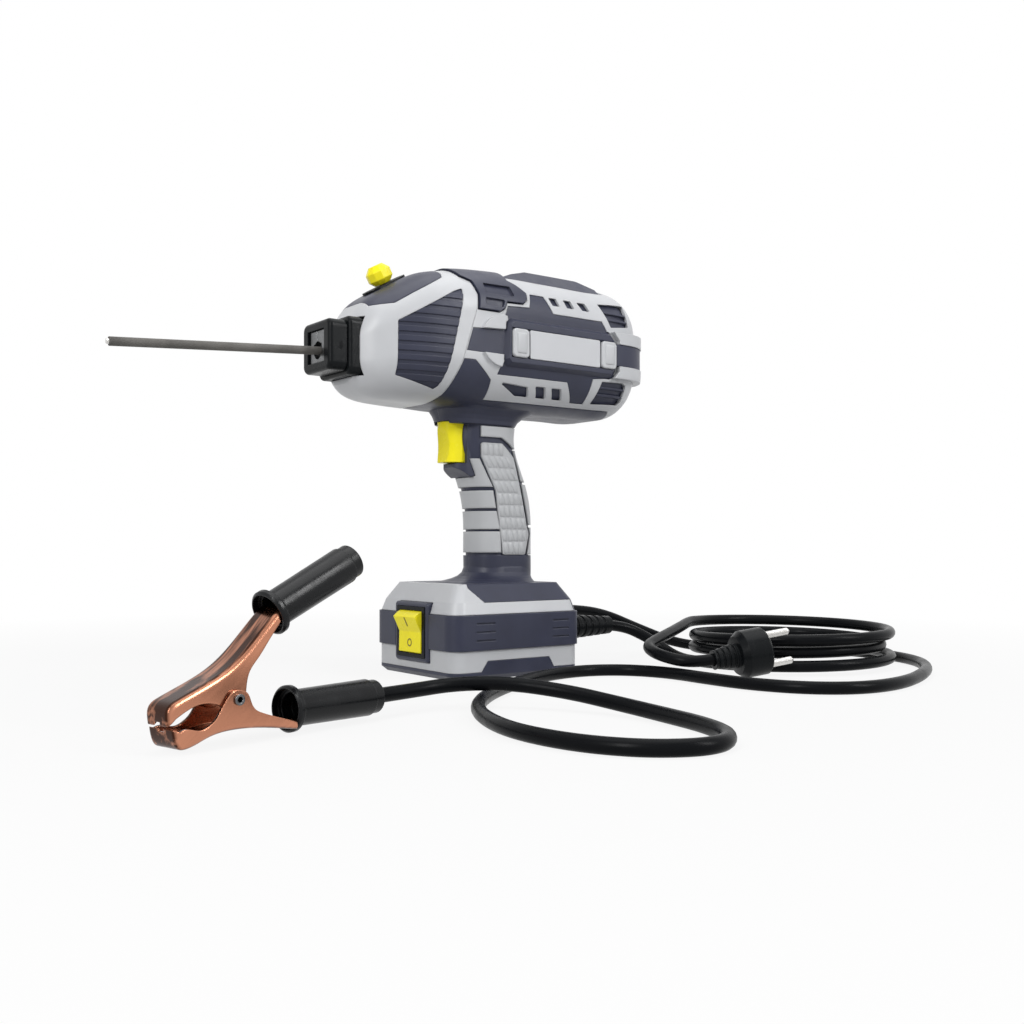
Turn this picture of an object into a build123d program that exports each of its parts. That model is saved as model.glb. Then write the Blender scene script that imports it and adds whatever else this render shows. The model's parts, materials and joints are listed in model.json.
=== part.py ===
from build123d import *
import math
import os

# Millimetres, +Z up. The tool points along -X and its left side is -Y. It stands on Z = 0, with the
# origin at the middle of the base's underside.

# Fits
FIT_GAP = 0.15  # between fixed pieces that sit in each other
RUN_GAP = 0.05  # radial, a pin in its bore
MOVE_GAP = 0.4  # beside a piece that moves

# Barrel: a rounded square section that closes towards the nose and the tail
BARREL_W = 90.0
BARREL_H = 93.8
BARREL_Z = 225.5
BARREL_CORNER = 31.0
ARMOUR_T = 2.0
CORE_T = 2.5
NOSE_X = -106.0
TAIL_X = 123.0
# x, side inset, top drop, bottom rise, corner loss
NOSE_FORM = [
    (NOSE_X, 25.0, 41.0, 11.4, 16.0),
    (-97.0, 16.0, 30.0, 4.9, 10.0),
    (-88.0, 11.0, 23.0, 2.7, 6.0),
    (-75.0, 6.5, 15.2, 1.8, 3.0),
    (-62.0, 3.5, 8.2, 1.4, 1.0),
    (-50.0, 2.0, 4.8, 1.0, 0.0),
    (-36.0, 1.0, 2.6, 0.4, 0.0),
    (-16.0, 0.5, 0.8, 0.2, 0.0),
]
STRAIGHT_X = (5.0, 25.0, 50.0, 75.0)
TAIL_RADIUS = 30.0
TAIL_STEPS = (0.03, 0.43, 0.77, 0.93)  # shares of the tail's rounding
SPINE_RISE = 6.5
SPINE_END_X = 88.0
SPINE_HALF_W = 31.0
SPINE_TOP_HALF_W = 16.0
SADDLE_RISE = 1.4
POD_RISE = 3.6
PLATE_SINK = 1.2
CAP_RISE = 1.4
BELT_RISE = 4.0
BELT_STRIP_SINK = 0.6
BOSS_R = 17.0
BOSS_RISE = 1.5
NOSE_PANEL_SINK = 0.7
NOSE_RIB_COUNT = 10
NOSE_RIB_SHARE = 0.6  # of the pitch

# Grip: an oval section that leans back under the barrel
GRIP_L = 49.0
GRIP_W = 36.0
GRIP_CORNER = 16.5
PAD_T = 1.6
GRIP_WALL = 2.6
# height from the barrel's axis, middle of the section along X
GRIP_FORM = [
    (-157.5, 16.8),
    (-145.5, 16.8),
    (-125.5, 16.8),
    (-113.5, 16.0),
    (-100.5, 13.2),
    (-90.5, 9.5),
    (-75.5, 3.5),
    (-60.5, 2.0),
    (-38.5, 2.0),
]
# flare of the grip's foot onto the base: height above the base's top, growth at the front, rear and sides
NECK_FLARE = [
    (0.0, 18.0, -2.0, 8.0),
    (1.0, 13.0, -1.8, 6.0),
    (2.4, 8.0, -1.4, 3.8),
    (4.2, 4.2, -0.8, 2.0),
    (6.6, 1.6, 0.3, 0.7),
    (9.8, 0.5, 0.2, 0.25),
]
NECK_CORNER = 18.0
# the grip's head under the barrel: height from the barrel's axis, front and rear along X, half width
YOKE_FORM = [
    (-56.0, -31.5, 27.2, 17.6),
    (-53.0, -32.0, 29.0, 18.2),
    (-50.0, -32.5, 32.5, 19.5),
    (-46.5, -33.5, 39.0, 22.0),
    (-42.0, -35.0, 46.0, 27.0),
]
YOKE_CORNER = 16.0

# Base
BASE_L = 105.0
BASE_W = 97.0
BASE_CORNER = 9.0
BASE_FOOT_CHAMFER = 3.0
BASE_DRAFT = 2.5  # from the band's top to the shoulder
BASE_SHOULDER_Z = 50.0
BASE_H = 61.5
BASE_TOP_INSET = 10.0
GUARD_T = 2.5
BASE_WALL = 2.5
PLATE_H = 5.0
LOWER_GUARD_TOP = 19.0
BAND_TOP = 42.0
BAND_PROUD = 1.5
FOOT_R = 6.0
FOOT_T = 2.0
FOOT_PITCH_X = 60.0
FOOT_PITCH_Y = 58.0

# Mains switch on the base's front
SWITCH_Z = 29.5
SWITCH_FRAME_W = 41.0
SWITCH_FRAME_H = 39.5
SWITCH_FRAME_RIM = 3.0
ROCKER_R = 15.2
ROCKER_W = 27.0
ROCKER_PIVOT_IN = 4.0  # behind the base's front face
ROCKER_HALF_THROW = 12.0  # degrees
ROCKER_PIN_R = 2.0
ROCKER_PIN_L = 2.5
SWITCH_WALL = 1.8

# Nose block, jaws and electrode
FLANGE_L = 14.0
FLANGE_OUT = 6.0  # ahead of the nose
FLANGE_W = 42.0
FLANGE_H = 37.0
HOLDER_L = 12.5
HOLDER_W = 37.0
HOLDER_H = 32.0
NOSE_DROP = 13.5  # nose block's middle below the barrel's axis
JAW_L = 7.0
JAW_W = 8.8
JAW_H = 20.0
JAW_TRAVEL = 1.5
JAW_PORT_R = 5.6
JAW_PORT_SHARE = 0.7  # of the jaw's depth
ROD_CORE_R = 1.6
ROD_COAT_R = 2.65
ROD_LENGTH = 150.0
ROD_PITCH = 3.7  # degrees, tip down
ROD_IN_L = 15.0  # bare end, in the jaws

# Release slide on top of the nose
SLIDE_ANGLE = 29.6
SLIDE_X = -75.0
SLIDE_DROP = 15.5  # slot's middle below the barrel's top
SLIDE_TRAVEL = 9.0
SLOT_L = 29.0
SLOT_W = 6.4
BEZEL_L = 33.0
BEZEL_W = 17.0
STEM_R = 2.6
KNOB_R = 8.4
KNOB_H = 12.4
KNOB_SIDES = 10

# Trigger
TRIGGER_W = 17.0
TRIGGER_TOP = -54.6  # from the barrel's axis
TRIGGER_H = 27.5
TRIGGER_FRONT_X = -31.5
TRIGGER_L = 22.0
TRIGGER_ROUND = 8.0
TRIGGER_TRAVEL = 6.0
TRIGGER_HOLLOW_R = 30.0
TRIGGER_HOLLOW = 3.2
BOSS_FRONT_X = -17.0
SPRING_R = 3.2
SPRING_WIRE_R = 0.5
SPRING_TURNS = 5

# Inside the barrel
BOARD_X = (-10.0, 82.0)
BOARD_T = 1.6
BOARD_DROP = 12.0
BOARD_CLEAR = 0.5
CORE_L = 40.0
CORE_H = 32.0
CORE_DEPTH = 22.0
CORE_LEG = 9.0
SINK_L = 40.0
SINK_W = 52.0
SINK_H = 20.0
FIN_T = 1.6
FIN_COUNT = 9
CAP_R = 9.0
CAP_H = 25.0
CAP_PITCH = 24.0
FAN_X = 84.0
FAN_PLATE_T = 3.0
FAN_DUCT_L = 13.0
FAN_R = 24.0
FAN_TIP_GAP = 1.5
FAN_HUB_R = 9.0
FAN_POST_R = 2.0
FAN_BLADES = 7
BAR_W = 12.0
BAR_T = 3.0

# Screws
SCREW_R = 1.9
SCREW_HEAD_R = 3.5
SCREW_HEAD_H = 2.4
SCREW_POST_R = 4.2
GRIP_SCREWS = [(17.0, -139.0), (12.0, -102.0)]
BARREL_SCREW = (-30.0, -32.0)
BASE_SCREW_L = 12.0

# Leads
CORD_D = 7.8
MAINS_EXIT_Y = -22.0
MAINS_EXIT_Z = 28.5
RELIEF_L = 49.0
RELIEF_R = 9.0
RELIEF_END_R = 6.5
RELIEF_RIBS = 6
EARTH_EXIT_Y = 10.0
EARTH_EXIT_Z = 39.0
GLAND_L = 20.0
GLAND_R = 8.0
GLAND_END_R = 6.2
# Coil of the mains lead: turns about a vertical line, each lying on the one before
COIL_X = 203.0
COIL_Y = -105.0
COIL_R = 69.0
COIL_SWAY = 4.0
COIL_START = 167.0  # degrees
COIL_END = 1198.0
COIL_RISE = 8.5  # a turn
# Plug
PLUG_X = 120.6
PLUG_Y = -152.9
PLUG_AIM = -24.0  # degrees about Z
PLUG_TILT = 9.0  # pins up
PLUG_R = 15.5
PLUG_T = 20.0
PLUG_NECK_L = 16.0
PLUG_NECK_R = 8.2
PLUG_END_R = 6.4
PLUG_RIBS = 4
PLUG_GROOVE = 1.1
PIN_R = 2.4
PIN_ROOT_R = 1.9
PIN_L = 19.0
PIN_PITCH = 19.0

# Earth clamp: two stamped levers on a hollow rivet, drawn along s from the jaw and up
CLAMP_X = -285.8
CLAMP_Y = -173.7
CLAMP_AIM = 14.0
LEVER_T = 1.3
LEVER_ROUND = 2.4  # outside, along the fold
LOWER_W = 20.0
LEVER_SIDE_GAP = 0.2
BITE_W = 4.2  # notch in the jaws' front
BITE_Z = (9.4, 13.8)
RIVET_S = 34.5
RIVET_Z = 20.2
RIVET_R = 1.9
RIVET_BORE_R = 1.4
RIVET_HEAD_R = 2.5
RIVET_HEAD_T = 0.9
SLEEVE_L = 56.0
SLEEVE_R = 8.6
SLEEVE_END_R = 9.2
SLEEVE_TIP_L = 5.6
SLEEVE_FLANGE_R = 11.0
SLEEVE_FLANGE_L = 4.0
LOWER_SLEEVE_S = 68.0
LOWER_SLEEVE_Z = 11.2
UPPER_SLEEVE_S = 57.8
UPPER_SLEEVE_Z = 55.7
UPPER_SLEEVE_TILT = 25.0
SLEEVE_MOUTH_R = 7.4
SLEEVE_MOUTH_L = 10.0
SLEEVE_LIP_R = 9.5  # wide enough for the upper lever's end
SLEEVE_LIP_L = 3.8

BARREL_TOP = BARREL_Z + BARREL_H / 2
BARREL_BOTTOM = BARREL_Z - BARREL_H / 2
CORE_OFFSET = -(ARMOUR_T + FIT_GAP)
INNER_OFFSET = CORE_OFFSET - CORE_T
NOSE_Z = BARREL_Z - NOSE_DROP
FAR = 200.0  # longer than any piece that a cutter goes through
CORD_R = CORD_D / 2

os.makedirs("parts", exist_ok=True)


# Helpers
def save(shape, node):
    export_step(Compound(children=list(shape.solids())), f"parts/{node}.step")
    print(node, len(shape.solids()), round(shape.volume))


def one(shape):
    """The largest solid of a cut."""
    return max(shape.solids(), key=lambda solid: solid.volume)


def side_prism(points, y_low, y_high, grow=0.0, corner=0.0):
    """A side outline in X and Z, taken through from y_low to y_high."""
    outline = Polygon(*points, align=None)
    if grow:
        outline = offset(outline, grow, kind=Kind.INTERSECTION)
    if corner:
        outline = fillet(outline.vertices(), corner)
    return extrude(Plane.XZ.offset(-y_low) * outline, y_high - y_low, dir=(0, 1, 0))


def on_barrel(points):
    """Outline heights are written from the barrel's axis."""
    return [(x, z + BARREL_Z) for x, z in points]


def both_sides(points, grow=0.0, corner=0.0):
    return side_prism(on_barrel(points), -FAR, FAR, grow, corner)


def block(x, y, z):
    """A box from its limits along each axis."""
    size = Box(x[1] - x[0], y[1] - y[0], z[1] - z[0])
    return Pos((x[0] + x[1]) / 2, (y[0] + y[1]) / 2, (z[0] + z[1]) / 2) * size


def rod_x(radius, x_low, x_high, y, z):
    return extrude(Plane((x_low, y, z), x_dir=(0, 1, 0), z_dir=(1, 0, 0)) * Circle(radius), x_high - x_low)


def rod_y(radius, y_low, y_high, x, z):
    return extrude(Plane((x, y_low, z), x_dir=(1, 0, 0), z_dir=(0, 1, 0)) * Circle(radius), y_high - y_low)


def rod_z(radius, z_low, z_high, x, y):
    return extrude(Plane((x, y, z_low)) * Circle(radius), z_high - z_low)


def turned(profile, place):
    """A profile of (radius, height) pairs turned about the Z axis of a plane."""
    face = Plane.XZ * Polygon(*profile, align=None)
    return place.location * revolve(face, Axis.Z)


LEFT_HALF = block((-FAR * 2, FAR * 2), (-FAR * 2, 0), (-FAR, FAR * 2))
RIGHT_HALF = block((-FAR * 2, FAR * 2), (0, FAR * 2), (-FAR, FAR * 2))


# Barrel
def tail_form():
    rows = []
    for share in TAIL_STEPS:
        along = share * TAIL_RADIUS
        loss = TAIL_RADIUS - math.sqrt(TAIL_RADIUS**2 - along**2)
        rows.append((TAIL_X - TAIL_RADIUS + along, loss, loss, loss, loss * 0.6))
    return rows


def barrel(grow):
    """The barrel's outer form, grown or shrunk by a wall."""
    straight = [(x, 0.0, 0.0, 0.0, 0.0) for x in STRAIGHT_X]
    middle = (NOSE_X + TAIL_X) / 2
    half = (TAIL_X - NOSE_X) / 2
    sections = []
    for x, inset, drop, rise, loss in NOSE_FORM + straight + tail_form():
        width = BARREL_W - 2 * inset + 2 * grow
        top = BARREL_TOP - drop + grow
        bottom = BARREL_BOTTOM + rise - grow
        place = Plane((x + grow * (x - middle) / half, 0, (top + bottom) / 2), x_dir=(0, 1, 0), z_dir=(1, 0, 0))
        sections.append(place * RectangleRounded(width, top - bottom, BARREL_CORNER - loss + grow))
    return loft(sections)


armour_outer = barrel(0)
armour_inner = barrel(-ARMOUR_T)
core_outer = barrel(CORE_OFFSET)
core_inner = barrel(INNER_OFFSET)
armour = armour_outer - armour_inner

# Side outlines on the barrel: X, and height from the barrel's axis
HOOD = [
    (-57.0, -75.0),
    (-57.0, -50.0),
    (-50.0, -41.5),
    (-46.3, -30.0),
    (-41.9, -18.8),
    (-31.5, 15.0),
    (-30.1, 24.4),
    (-32.6, 32.9),
    (-38.8, 36.2),
    (-44.0, 49.5),
    (-44.0, 75.0),
    (-150.0, 75.0),
    (-150.0, -75.0),
]
NOSE_WINDOW = [
    (-85.4, 2.3),
    (-46.6, 25.1),
    (-40.3, 27.7),
    (-40.9, 22.5),
    (-46.8, -3.8),
    (-52.9, -29.9),
    (-54.8, -36.1),
    (-57.3, -38.2),
    (-85.7, -31.6),
]
NOSE_TOP = [
    (-98.0, 12.0),
    (-85.3, 13.8),
    (-73.4, 21.3),
    (-50.8, 34.7),
    (-49.0, 38.0),
    (-49.0, 75.0),
    (-98.0, 75.0),
]
SADDLE = [
    (-42.8, 75.0),
    (-42.8, 49.5),
    (-37.9, 37.4),
    (-31.6, 34.0),
    (-28.9, 24.6),
    (-30.0, 15.3),
    (-13.9, 15.3),
    (-9.9, 17.8),
    (-7.9, 22.5),
    (5.3, 22.9),
    (9.0, 26.1),
    (9.6, 30.7),
    (3.3, 35.8),
    (-2.0, 38.8),
    (-2.0, 75.0),
]
SADDLE_POCKETS = [
    [(-24.0, 26.5), (-1.0, 26.5), (-3.0, 33.5), (-24.0, 33.5)],
    [(-25.0, 18.0), (-11.5, 18.0), (-9.5, 23.1), (-25.0, 23.1)],
]
FIELD = [
    (13.6, 30.7),
    (25.6, 30.7),
    (31.7, 19.2),
    (75.8, 19.3),
    (81.6, 10.8),
    (86.7, 4.9),
    (86.7, -19.9),
    (68.1, -21.9),
    (66.3, -38.8),
    (54.0, -38.8),
    (45.0, -26.2),
    (-14.5, -26.1),
    (-10.0, -13.1),
    (-39.3, -12.8),
    (-34.5, 2.5),
    (-9.0, 3.8),
    (-8.0, 9.8),
    (-9.0, 13.8),
    (-6.8, 19.8),
    (11.0, 20.8),
]
BELLY = [
    (-56.0, -75.0),
    (-56.0, -49.5),
    (-49.0, -41.0),
    (-45.3, -29.5),
    (-41.0, -18.2),
    (-32.4, -18.2),
    (-18.3, -29.8),
    (-17.0, -41.7),
    (93.0, -41.7),
    (101.0, -47.5),
    (105.0, -75.0),
]
POD = [
    (-9.5, 8.5),
    (-5.5, 12.3),
    (82.0, 12.3),
    (87.8, 6.0),
    (87.8, -15.0),
    (83.0, -20.7),
    (-7.5, -20.7),
    (-11.5, -16.5),
]
BELT = [(83.6, 12.5), (140.0, 12.5), (140.0, -20.2), (84.4, -20.2), (89.0, -15.0), (89.0, 6.5)]
BELT_STRIP = [(86.0, 4.0), (140.0, 4.0), (140.0, -11.3), (86.0, -11.3)]
VENTS = [
    [(29.6, 30.7), (36.6, 30.7), (38.7, 25.0), (31.7, 25.0)],
    [(42.6, 30.7), (49.6, 30.7), (51.6, 25.0), (44.6, 25.0)],
    [(54.7, 30.7), (62.8, 30.7), (65.7, 25.0), (58.6, 25.0)],
    [(74.8, 32.1), (102.4, 34.6), (101.7, 25.9), (102.1, 18.1), (83.7, 15.8)],
    [(-12.2, -30.3), (13.1, -31.8), (16.8, -37.9), (4.7, -37.9)],
    [(18.7, -30.8), (27.7, -30.8), (32.0, -37.9), (22.9, -37.9)],
    [(32.7, -30.8), (41.7, -30.8), (46.1, -37.9), (37.0, -37.9)],
    [(76.4, -22.9), (96.2, -22.3), (100.1, -23.8), (100.0, -34.6), (97.5, -37.3), (72.2, -38.3)],
]
LOUVRES = [(3, 21.5), (3, 26.5), (7, -27.0), (7, -32.0)]  # vent, height
PLATE_X = (8.6, 70.6)
PLATE_Z = (-14.1, 4.8)
END_CAP_X = [(-6.0, 7.4), (71.8, 85.4)]
BOSS_CENTRE = (-11.9, -4.1)

# Nose cover, its top panel and the ribbed side panels
flange_x = (NOSE_X - FLANGE_OUT, NOSE_X - FLANGE_OUT + FLANGE_L)
flange_room = block(
    (flange_x[0] - 1, flange_x[1] + FIT_GAP),
    (-FLANGE_W / 2 - FIT_GAP, FLANGE_W / 2 + FIT_GAP),
    (NOSE_Z - FLANGE_H / 2 - FIT_GAP, NOSE_Z + FLANGE_H / 2 + FIT_GAP),
)
slide_plane = Plane(
    (SLIDE_X, 0, BARREL_TOP - SLIDE_DROP),
    x_dir=(math.cos(math.radians(SLIDE_ANGLE)), 0, math.sin(math.radians(SLIDE_ANGLE))),
    z_dir=(-math.sin(math.radians(SLIDE_ANGLE)), 0, math.cos(math.radians(SLIDE_ANGLE))),
)
bezel_room = extrude(slide_plane.offset(-3.6) * SlotOverall(BEZEL_L + 2 * FIT_GAP, BEZEL_W + 2 * FIT_GAP), 12)
stem_room = extrude(slide_plane.offset(-14) * SlotOverall(SLOT_L, SLOT_W), 20)
hood = armour & both_sides(HOOD)
hood = hood - both_sides(NOSE_WINDOW, 0, 1.0) - flange_room
nose_cover = one(hood - both_sides(NOSE_TOP))
nose_top_panel = one((armour & both_sides(NOSE_TOP, -FIT_GAP)) - bezel_room - flange_room)
window = both_sides(NOSE_WINDOW, -FIT_GAP, 1.0)
nose_side_panels = (barrel(-NOSE_PANEL_SINK) - armour_inner) & window
rib_room = armour & window
window_low = min(z for x, z in NOSE_WINDOW) + BARREL_Z
window_high = max(z for x, z in NOSE_WINDOW) + BARREL_Z
rib_pitch = (window_high - window_low) / (NOSE_RIB_COUNT + 1)
for i in range(NOSE_RIB_COUNT):
    z = window_low + (i + 0.7) * rib_pitch
    nose_side_panels += rib_room & block((-95, -30), (-60, 60), (z, z + rib_pitch * NOSE_RIB_SHARE))

# Rear armour, split left and right
boss_pair = rod_y(BOSS_R, -BARREL_W / 2 - BOSS_RISE, BARREL_W / 2 + BOSS_RISE, BOSS_CENTRE[0], BOSS_CENTRE[1] + BARREL_Z)
boss_pair = boss_pair - armour_inner
rear = (armour + boss_pair) - both_sides(HOOD, FIT_GAP)
rear = rear - both_sides(SADDLE, FIT_GAP + 0.8)
rear = rear - both_sides(FIELD) - both_sides(BELLY, FIT_GAP) - both_sides(POD, FIT_GAP)
for vent in VENTS:
    rear = rear - both_sides(vent, 0, 0.8)
spine_x = (min(x for x, z in SADDLE if x > -3) + 0.3, SPINE_END_X)
spine_room = block(
    (spine_x[0] - FIT_GAP, spine_x[1] + FIT_GAP),
    (-SPINE_HALF_W - FIT_GAP, SPINE_HALF_W + FIT_GAP),
    (BARREL_Z + 20, BARREL_TOP + 40),
)
rear = rear - spine_room
left_rear_armour = one(rear & LEFT_HALF)
right_rear_armour = one(rear & RIGHT_HALF)

# Saddle over the shoulder and the spine behind it
saddle_outer = barrel(SADDLE_RISE)
shoulder_saddle = (saddle_outer - armour_inner) & both_sides(SADDLE)
pocket_skin = saddle_outer - barrel(SADDLE_RISE - 1.6)
for pocket in SADDLE_POCKETS:
    shoulder_saddle = shoulder_saddle - (pocket_skin & both_sides(pocket, 0, 1.0))
shoulder_saddle = one(shoulder_saddle)
spine_end = Plane((spine_x[0], 0, BARREL_TOP), x_dir=(0, 1, 0), z_dir=(1, 0, 0))
spine_form = [
    (-SPINE_HALF_W, -20.0),
    (SPINE_HALF_W, -20.0),
    (SPINE_HALF_W, -7.0),
    (SPINE_TOP_HALF_W, SPINE_RISE),
    (-SPINE_TOP_HALF_W, SPINE_RISE),
    (-SPINE_HALF_W, -7.0),
]
top_spine = extrude(spine_end * fillet(Polygon(*spine_form, align=None).vertices()[2:], 4), spine_x[1] - spine_x[0])
spine_side = [
    (spine_x[0], BARREL_Z + 20),
    (spine_x[0], BARREL_TOP - 4.5),
    (12.0, BARREL_TOP + 1.0),
    (28.0, BARREL_TOP + SPINE_RISE - 0.8),
    (spine_x[1] - 14.0, BARREL_TOP + SPINE_RISE),
    (spine_x[1], BARREL_TOP + 0.5),
    (spine_x[1], BARREL_Z + 20),
]
top_spine = one((top_spine & side_prism(spine_side, -FAR, FAR)) - armour_inner)

# Label pods with their plates and end caps, and the belt round the tail
field_skin = (barrel(-0.4) - armour_inner) & both_sides(FIELD, -FIT_GAP)
pod_face = BARREL_W / 2 + POD_RISE
pod_root = BARREL_W / 2 - 1.5
pod = extrude(Plane.XZ.offset(pod_root) * Polygon(*on_barrel(POD[::-1]), align=None), pod_face - pod_root, taper=30)
label_room = block((-6.4, 85.8), (-FAR, -pod_face + PLATE_SINK), (BARREL_Z + PLATE_Z[0] - 0.4, BARREL_Z + PLATE_Z[1] + 0.4))
pod = pod - label_room
belt_outer = barrel(BELT_RISE)
strip_skin = barrel(BELT_RISE - BELT_STRIP_SINK) - barrel(FIT_GAP)
belt_strip = strip_skin & both_sides(BELT_STRIP)
left_pod = one(((field_skin + belt_strip) & LEFT_HALF) + pod)
right_pod = one(((field_skin + belt_strip) & RIGHT_HALF) + mirror(pod, Plane.XZ))
label_pods = Compound(children=[left_pod, right_pod])
rear_belt = (belt_outer - barrel(FIT_GAP)) & both_sides(BELT)
rear_belt = rear_belt - both_sides(BELT_STRIP, FIT_GAP)
rear_belt = Compound(children=list(rear_belt.solids()))
print("rear_belt bands", len(rear_belt.solids()))


def plate_block(x_range, low, high):
    z_range = (BARREL_Z + PLATE_Z[0], BARREL_Z + PLATE_Z[1])
    return block(x_range, (-pod_face - high, -pod_face + low), z_range)


plate_low = PLATE_SINK - FIT_GAP
plate = plate_block(PLATE_X, plate_low, 0.2)
plate = fillet(plate.edges().filter_by(Axis.Y), 1.2)
label_plates = Compound(children=[plate, mirror(plate, Plane.XZ)])
caps = []
for x_range in END_CAP_X:
    cap = plate_block(x_range, plate_low, CAP_RISE)
    cap = fillet(cap.edges().filter_by(Axis.Y), 3.0)
    cap = fillet(cap.faces().sort_by(Axis.Y)[0].edges(), 0.9)
    caps = caps + [cap, mirror(cap, Plane.XZ)]
label_end_caps = Compound(children=caps)

# Base: an outer skin of guards over an inner housing
def base_form(grow):
    levels = [
        (0.0, BASE_FOOT_CHAMFER),
        (BASE_FOOT_CHAMFER, 0.0),
        (BAND_TOP, 0.0),
        (BASE_SHOULDER_Z + 0.4 * grow, BASE_DRAFT),
        (BASE_H + grow, BASE_TOP_INSET),
    ]
    sections = []
    for z, inset in levels:
        corner = max(BASE_CORNER - inset * 0.3 + grow, 1.0)
        outline = RectangleRounded(BASE_L - 2 * inset + 2 * grow, BASE_W - 2 * inset + 2 * grow, corner)
        sections.append(Plane((0, 0, z)) * outline)
    return loft(sections, ruled=True)


# Grip form, with the neck below it and the yoke above
def oval(length, width, corner, x, z):
    return Plane((x, 0, z)) * RectangleRounded(length, width, corner)


def grip(grow):
    sections = []
    for z, x in GRIP_FORM:
        sections.append(oval(GRIP_L + 2 * grow, GRIP_W + 2 * grow, GRIP_CORNER + grow, x, z + BARREL_Z))
    return loft(sections)


NECK_TOP = GRIP_FORM[0][0] + BARREL_Z
HOUSING_INSET = GUARD_T + FIT_GAP
LIP_LOW = BASE_H - HOUSING_INSET - BASE_WALL  # underside of the base's top, held in the neck's groove
grip_outer = grip(0)
grip_core = grip(-PAD_T - FIT_GAP)
grip_inner = grip(-PAD_T - FIT_GAP - GRIP_WALL)
pad_skin = grip_outer - grip(-PAD_T)
neck_x = GRIP_FORM[0][1]
NECK_L = GRIP_L + NECK_FLARE[0][1] + NECK_FLARE[0][2]
NECK_W = GRIP_W + 2 * NECK_FLARE[0][3]
NECK_X = neck_x + (NECK_FLARE[0][2] - NECK_FLARE[0][1]) / 2
neck_levels = [oval(NECK_L, NECK_W, NECK_CORNER, NECK_X, LIP_LOW - 0.2)]
for rise, front, rear_grow, wide in NECK_FLARE:
    length = GRIP_L + front + rear_grow
    middle = neck_x + (rear_grow - front) / 2
    neck_levels.append(oval(length, GRIP_W + 2 * wide, NECK_CORNER, middle, BASE_H + FIT_GAP + rise))
neck_levels.append(oval(GRIP_L - 2, GRIP_W - 2, GRIP_CORNER, neck_x, NECK_TOP + 8.0))
neck = loft(neck_levels, ruled=True)
neck_foot = extrude(oval(NECK_L + 6, NECK_W + 6, 20.0, NECK_X, LIP_LOW - 4.2), 4.2 - FIT_GAP)
neck_foot = neck_foot & base_form(-HOUSING_INSET - BASE_WALL - FIT_GAP)
NECK_BAND_H = 12.0
neck_band = (grip_outer & block((-60, 60), (-60, 60), (NECK_TOP, NECK_TOP + NECK_BAND_H)))
yoke_levels = []
for z, front, rear_end, half in YOKE_FORM:
    yoke_levels.append(oval(rear_end - front, 2 * half, YOKE_CORNER, (front + rear_end) / 2, BARREL_Z + z))
yoke = loft(yoke_levels, ruled=True)
trigger_z = (BARREL_Z + TRIGGER_TOP - TRIGGER_H, BARREL_Z + TRIGGER_TOP)
LIP_TOP = trigger_z[0] - MOVE_GAP - 0.2  # the hook under the trigger
BOSS_HALF_W = 12.0
BOSS_REAR_X = -8.0
trigger_boss_side = [
    (BOSS_FRONT_X, BARREL_Z - 48),
    (BOSS_FRONT_X, LIP_TOP),
    (BOSS_FRONT_X - 8.5, LIP_TOP),
    (BOSS_FRONT_X - 7.8, LIP_TOP - 2.6),
    (BOSS_FRONT_X - 2.0, LIP_TOP - 6.0),
    (BOSS_FRONT_X + 3.0, LIP_TOP - 9.2),
    (BOSS_FRONT_X + 6.5, LIP_TOP - 8.0),
    (BOSS_REAR_X - 0.4, LIP_TOP - 2.0),
    (BOSS_REAR_X, BARREL_Z - 60),
    (BOSS_REAR_X, BARREL_Z - 48),
]
trigger_boss = side_prism(trigger_boss_side, -BOSS_HALF_W, BOSS_HALF_W, 0, 0.9)
boss_plan = RectangleRounded(54, 2 * BOSS_HALF_W, 11)
trigger_boss = trigger_boss & extrude(Plane((BOSS_FRONT_X + 18.3, 0, 100)) * boss_plan, 120)
trigger_room = block(
    (BOSS_FRONT_X - 20, BOSS_FRONT_X + 30),
    (-TRIGGER_W / 2 - MOVE_GAP, TRIGGER_W / 2 + MOVE_GAP),
    (trigger_z[0] - MOVE_GAP, trigger_z[1] + MOVE_GAP),
)

# Housing: the navy core of barrel, grip and neck, split down the middle
belly = barrel(-0.2) & both_sides(BELLY)
for vent, height in LOUVRES:
    z = BARREL_Z + height
    belly += (barrel(-0.5) & both_sides(VENTS[vent], -0.6)) & block((-FAR, FAR), (-60, 60), (z - 0.7, z + 0.7))
shell = core_outer + belly
shell = shell + grip_core + yoke + trigger_boss + neck_band + neck + neck_foot
shell = shell - core_inner - grip_inner
shell = shell - extrude(oval(24, 16, 7, neck_x - 4, LIP_LOW - 10), 30)
shell = shell - flange_room - bezel_room - stem_room
board_top = BARREL_Z - BOARD_DROP
ledge = (core_outer - barrel(INNER_OFFSET - 4)) & block((0, 70), (-60, 60), (board_top - BOARD_T - 4, board_top - BOARD_T - 0.1))
shell = shell + ledge
screw_points = [(x, BARREL_Z + z) for x, z in GRIP_SCREWS + [BARREL_SCREW]]
head_y = []
for i, (x, z) in enumerate(screw_points):
    limit = grip_core if i < len(GRIP_SCREWS) else barrel(-0.2)
    shell = shell + (rod_y(SCREW_POST_R, -60, 60, x, z) & limit)
    head_y.append(GRIP_W / 2 - 4.6 if i < len(GRIP_SCREWS) else 36.0)
shell = shell - trigger_room
screws = []
for (x, z), y in zip(screw_points, head_y):
    length = 2 * y - 4
    screws.append(rod_y(SCREW_R, y - length, y, x, z) + rod_y(SCREW_HEAD_R, y, y + SCREW_HEAD_H, x, z))
    shell = shell - rod_y(SCREW_R + RUN_GAP, y - length - 0.5, y + 1, x, z)
    shell = shell - rod_y(SCREW_HEAD_R + FIT_GAP, y - 0.02, 60, x, z)
left_housing = one(shell & LEFT_HALF)
right_housing = one(shell & RIGHT_HALF)

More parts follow.
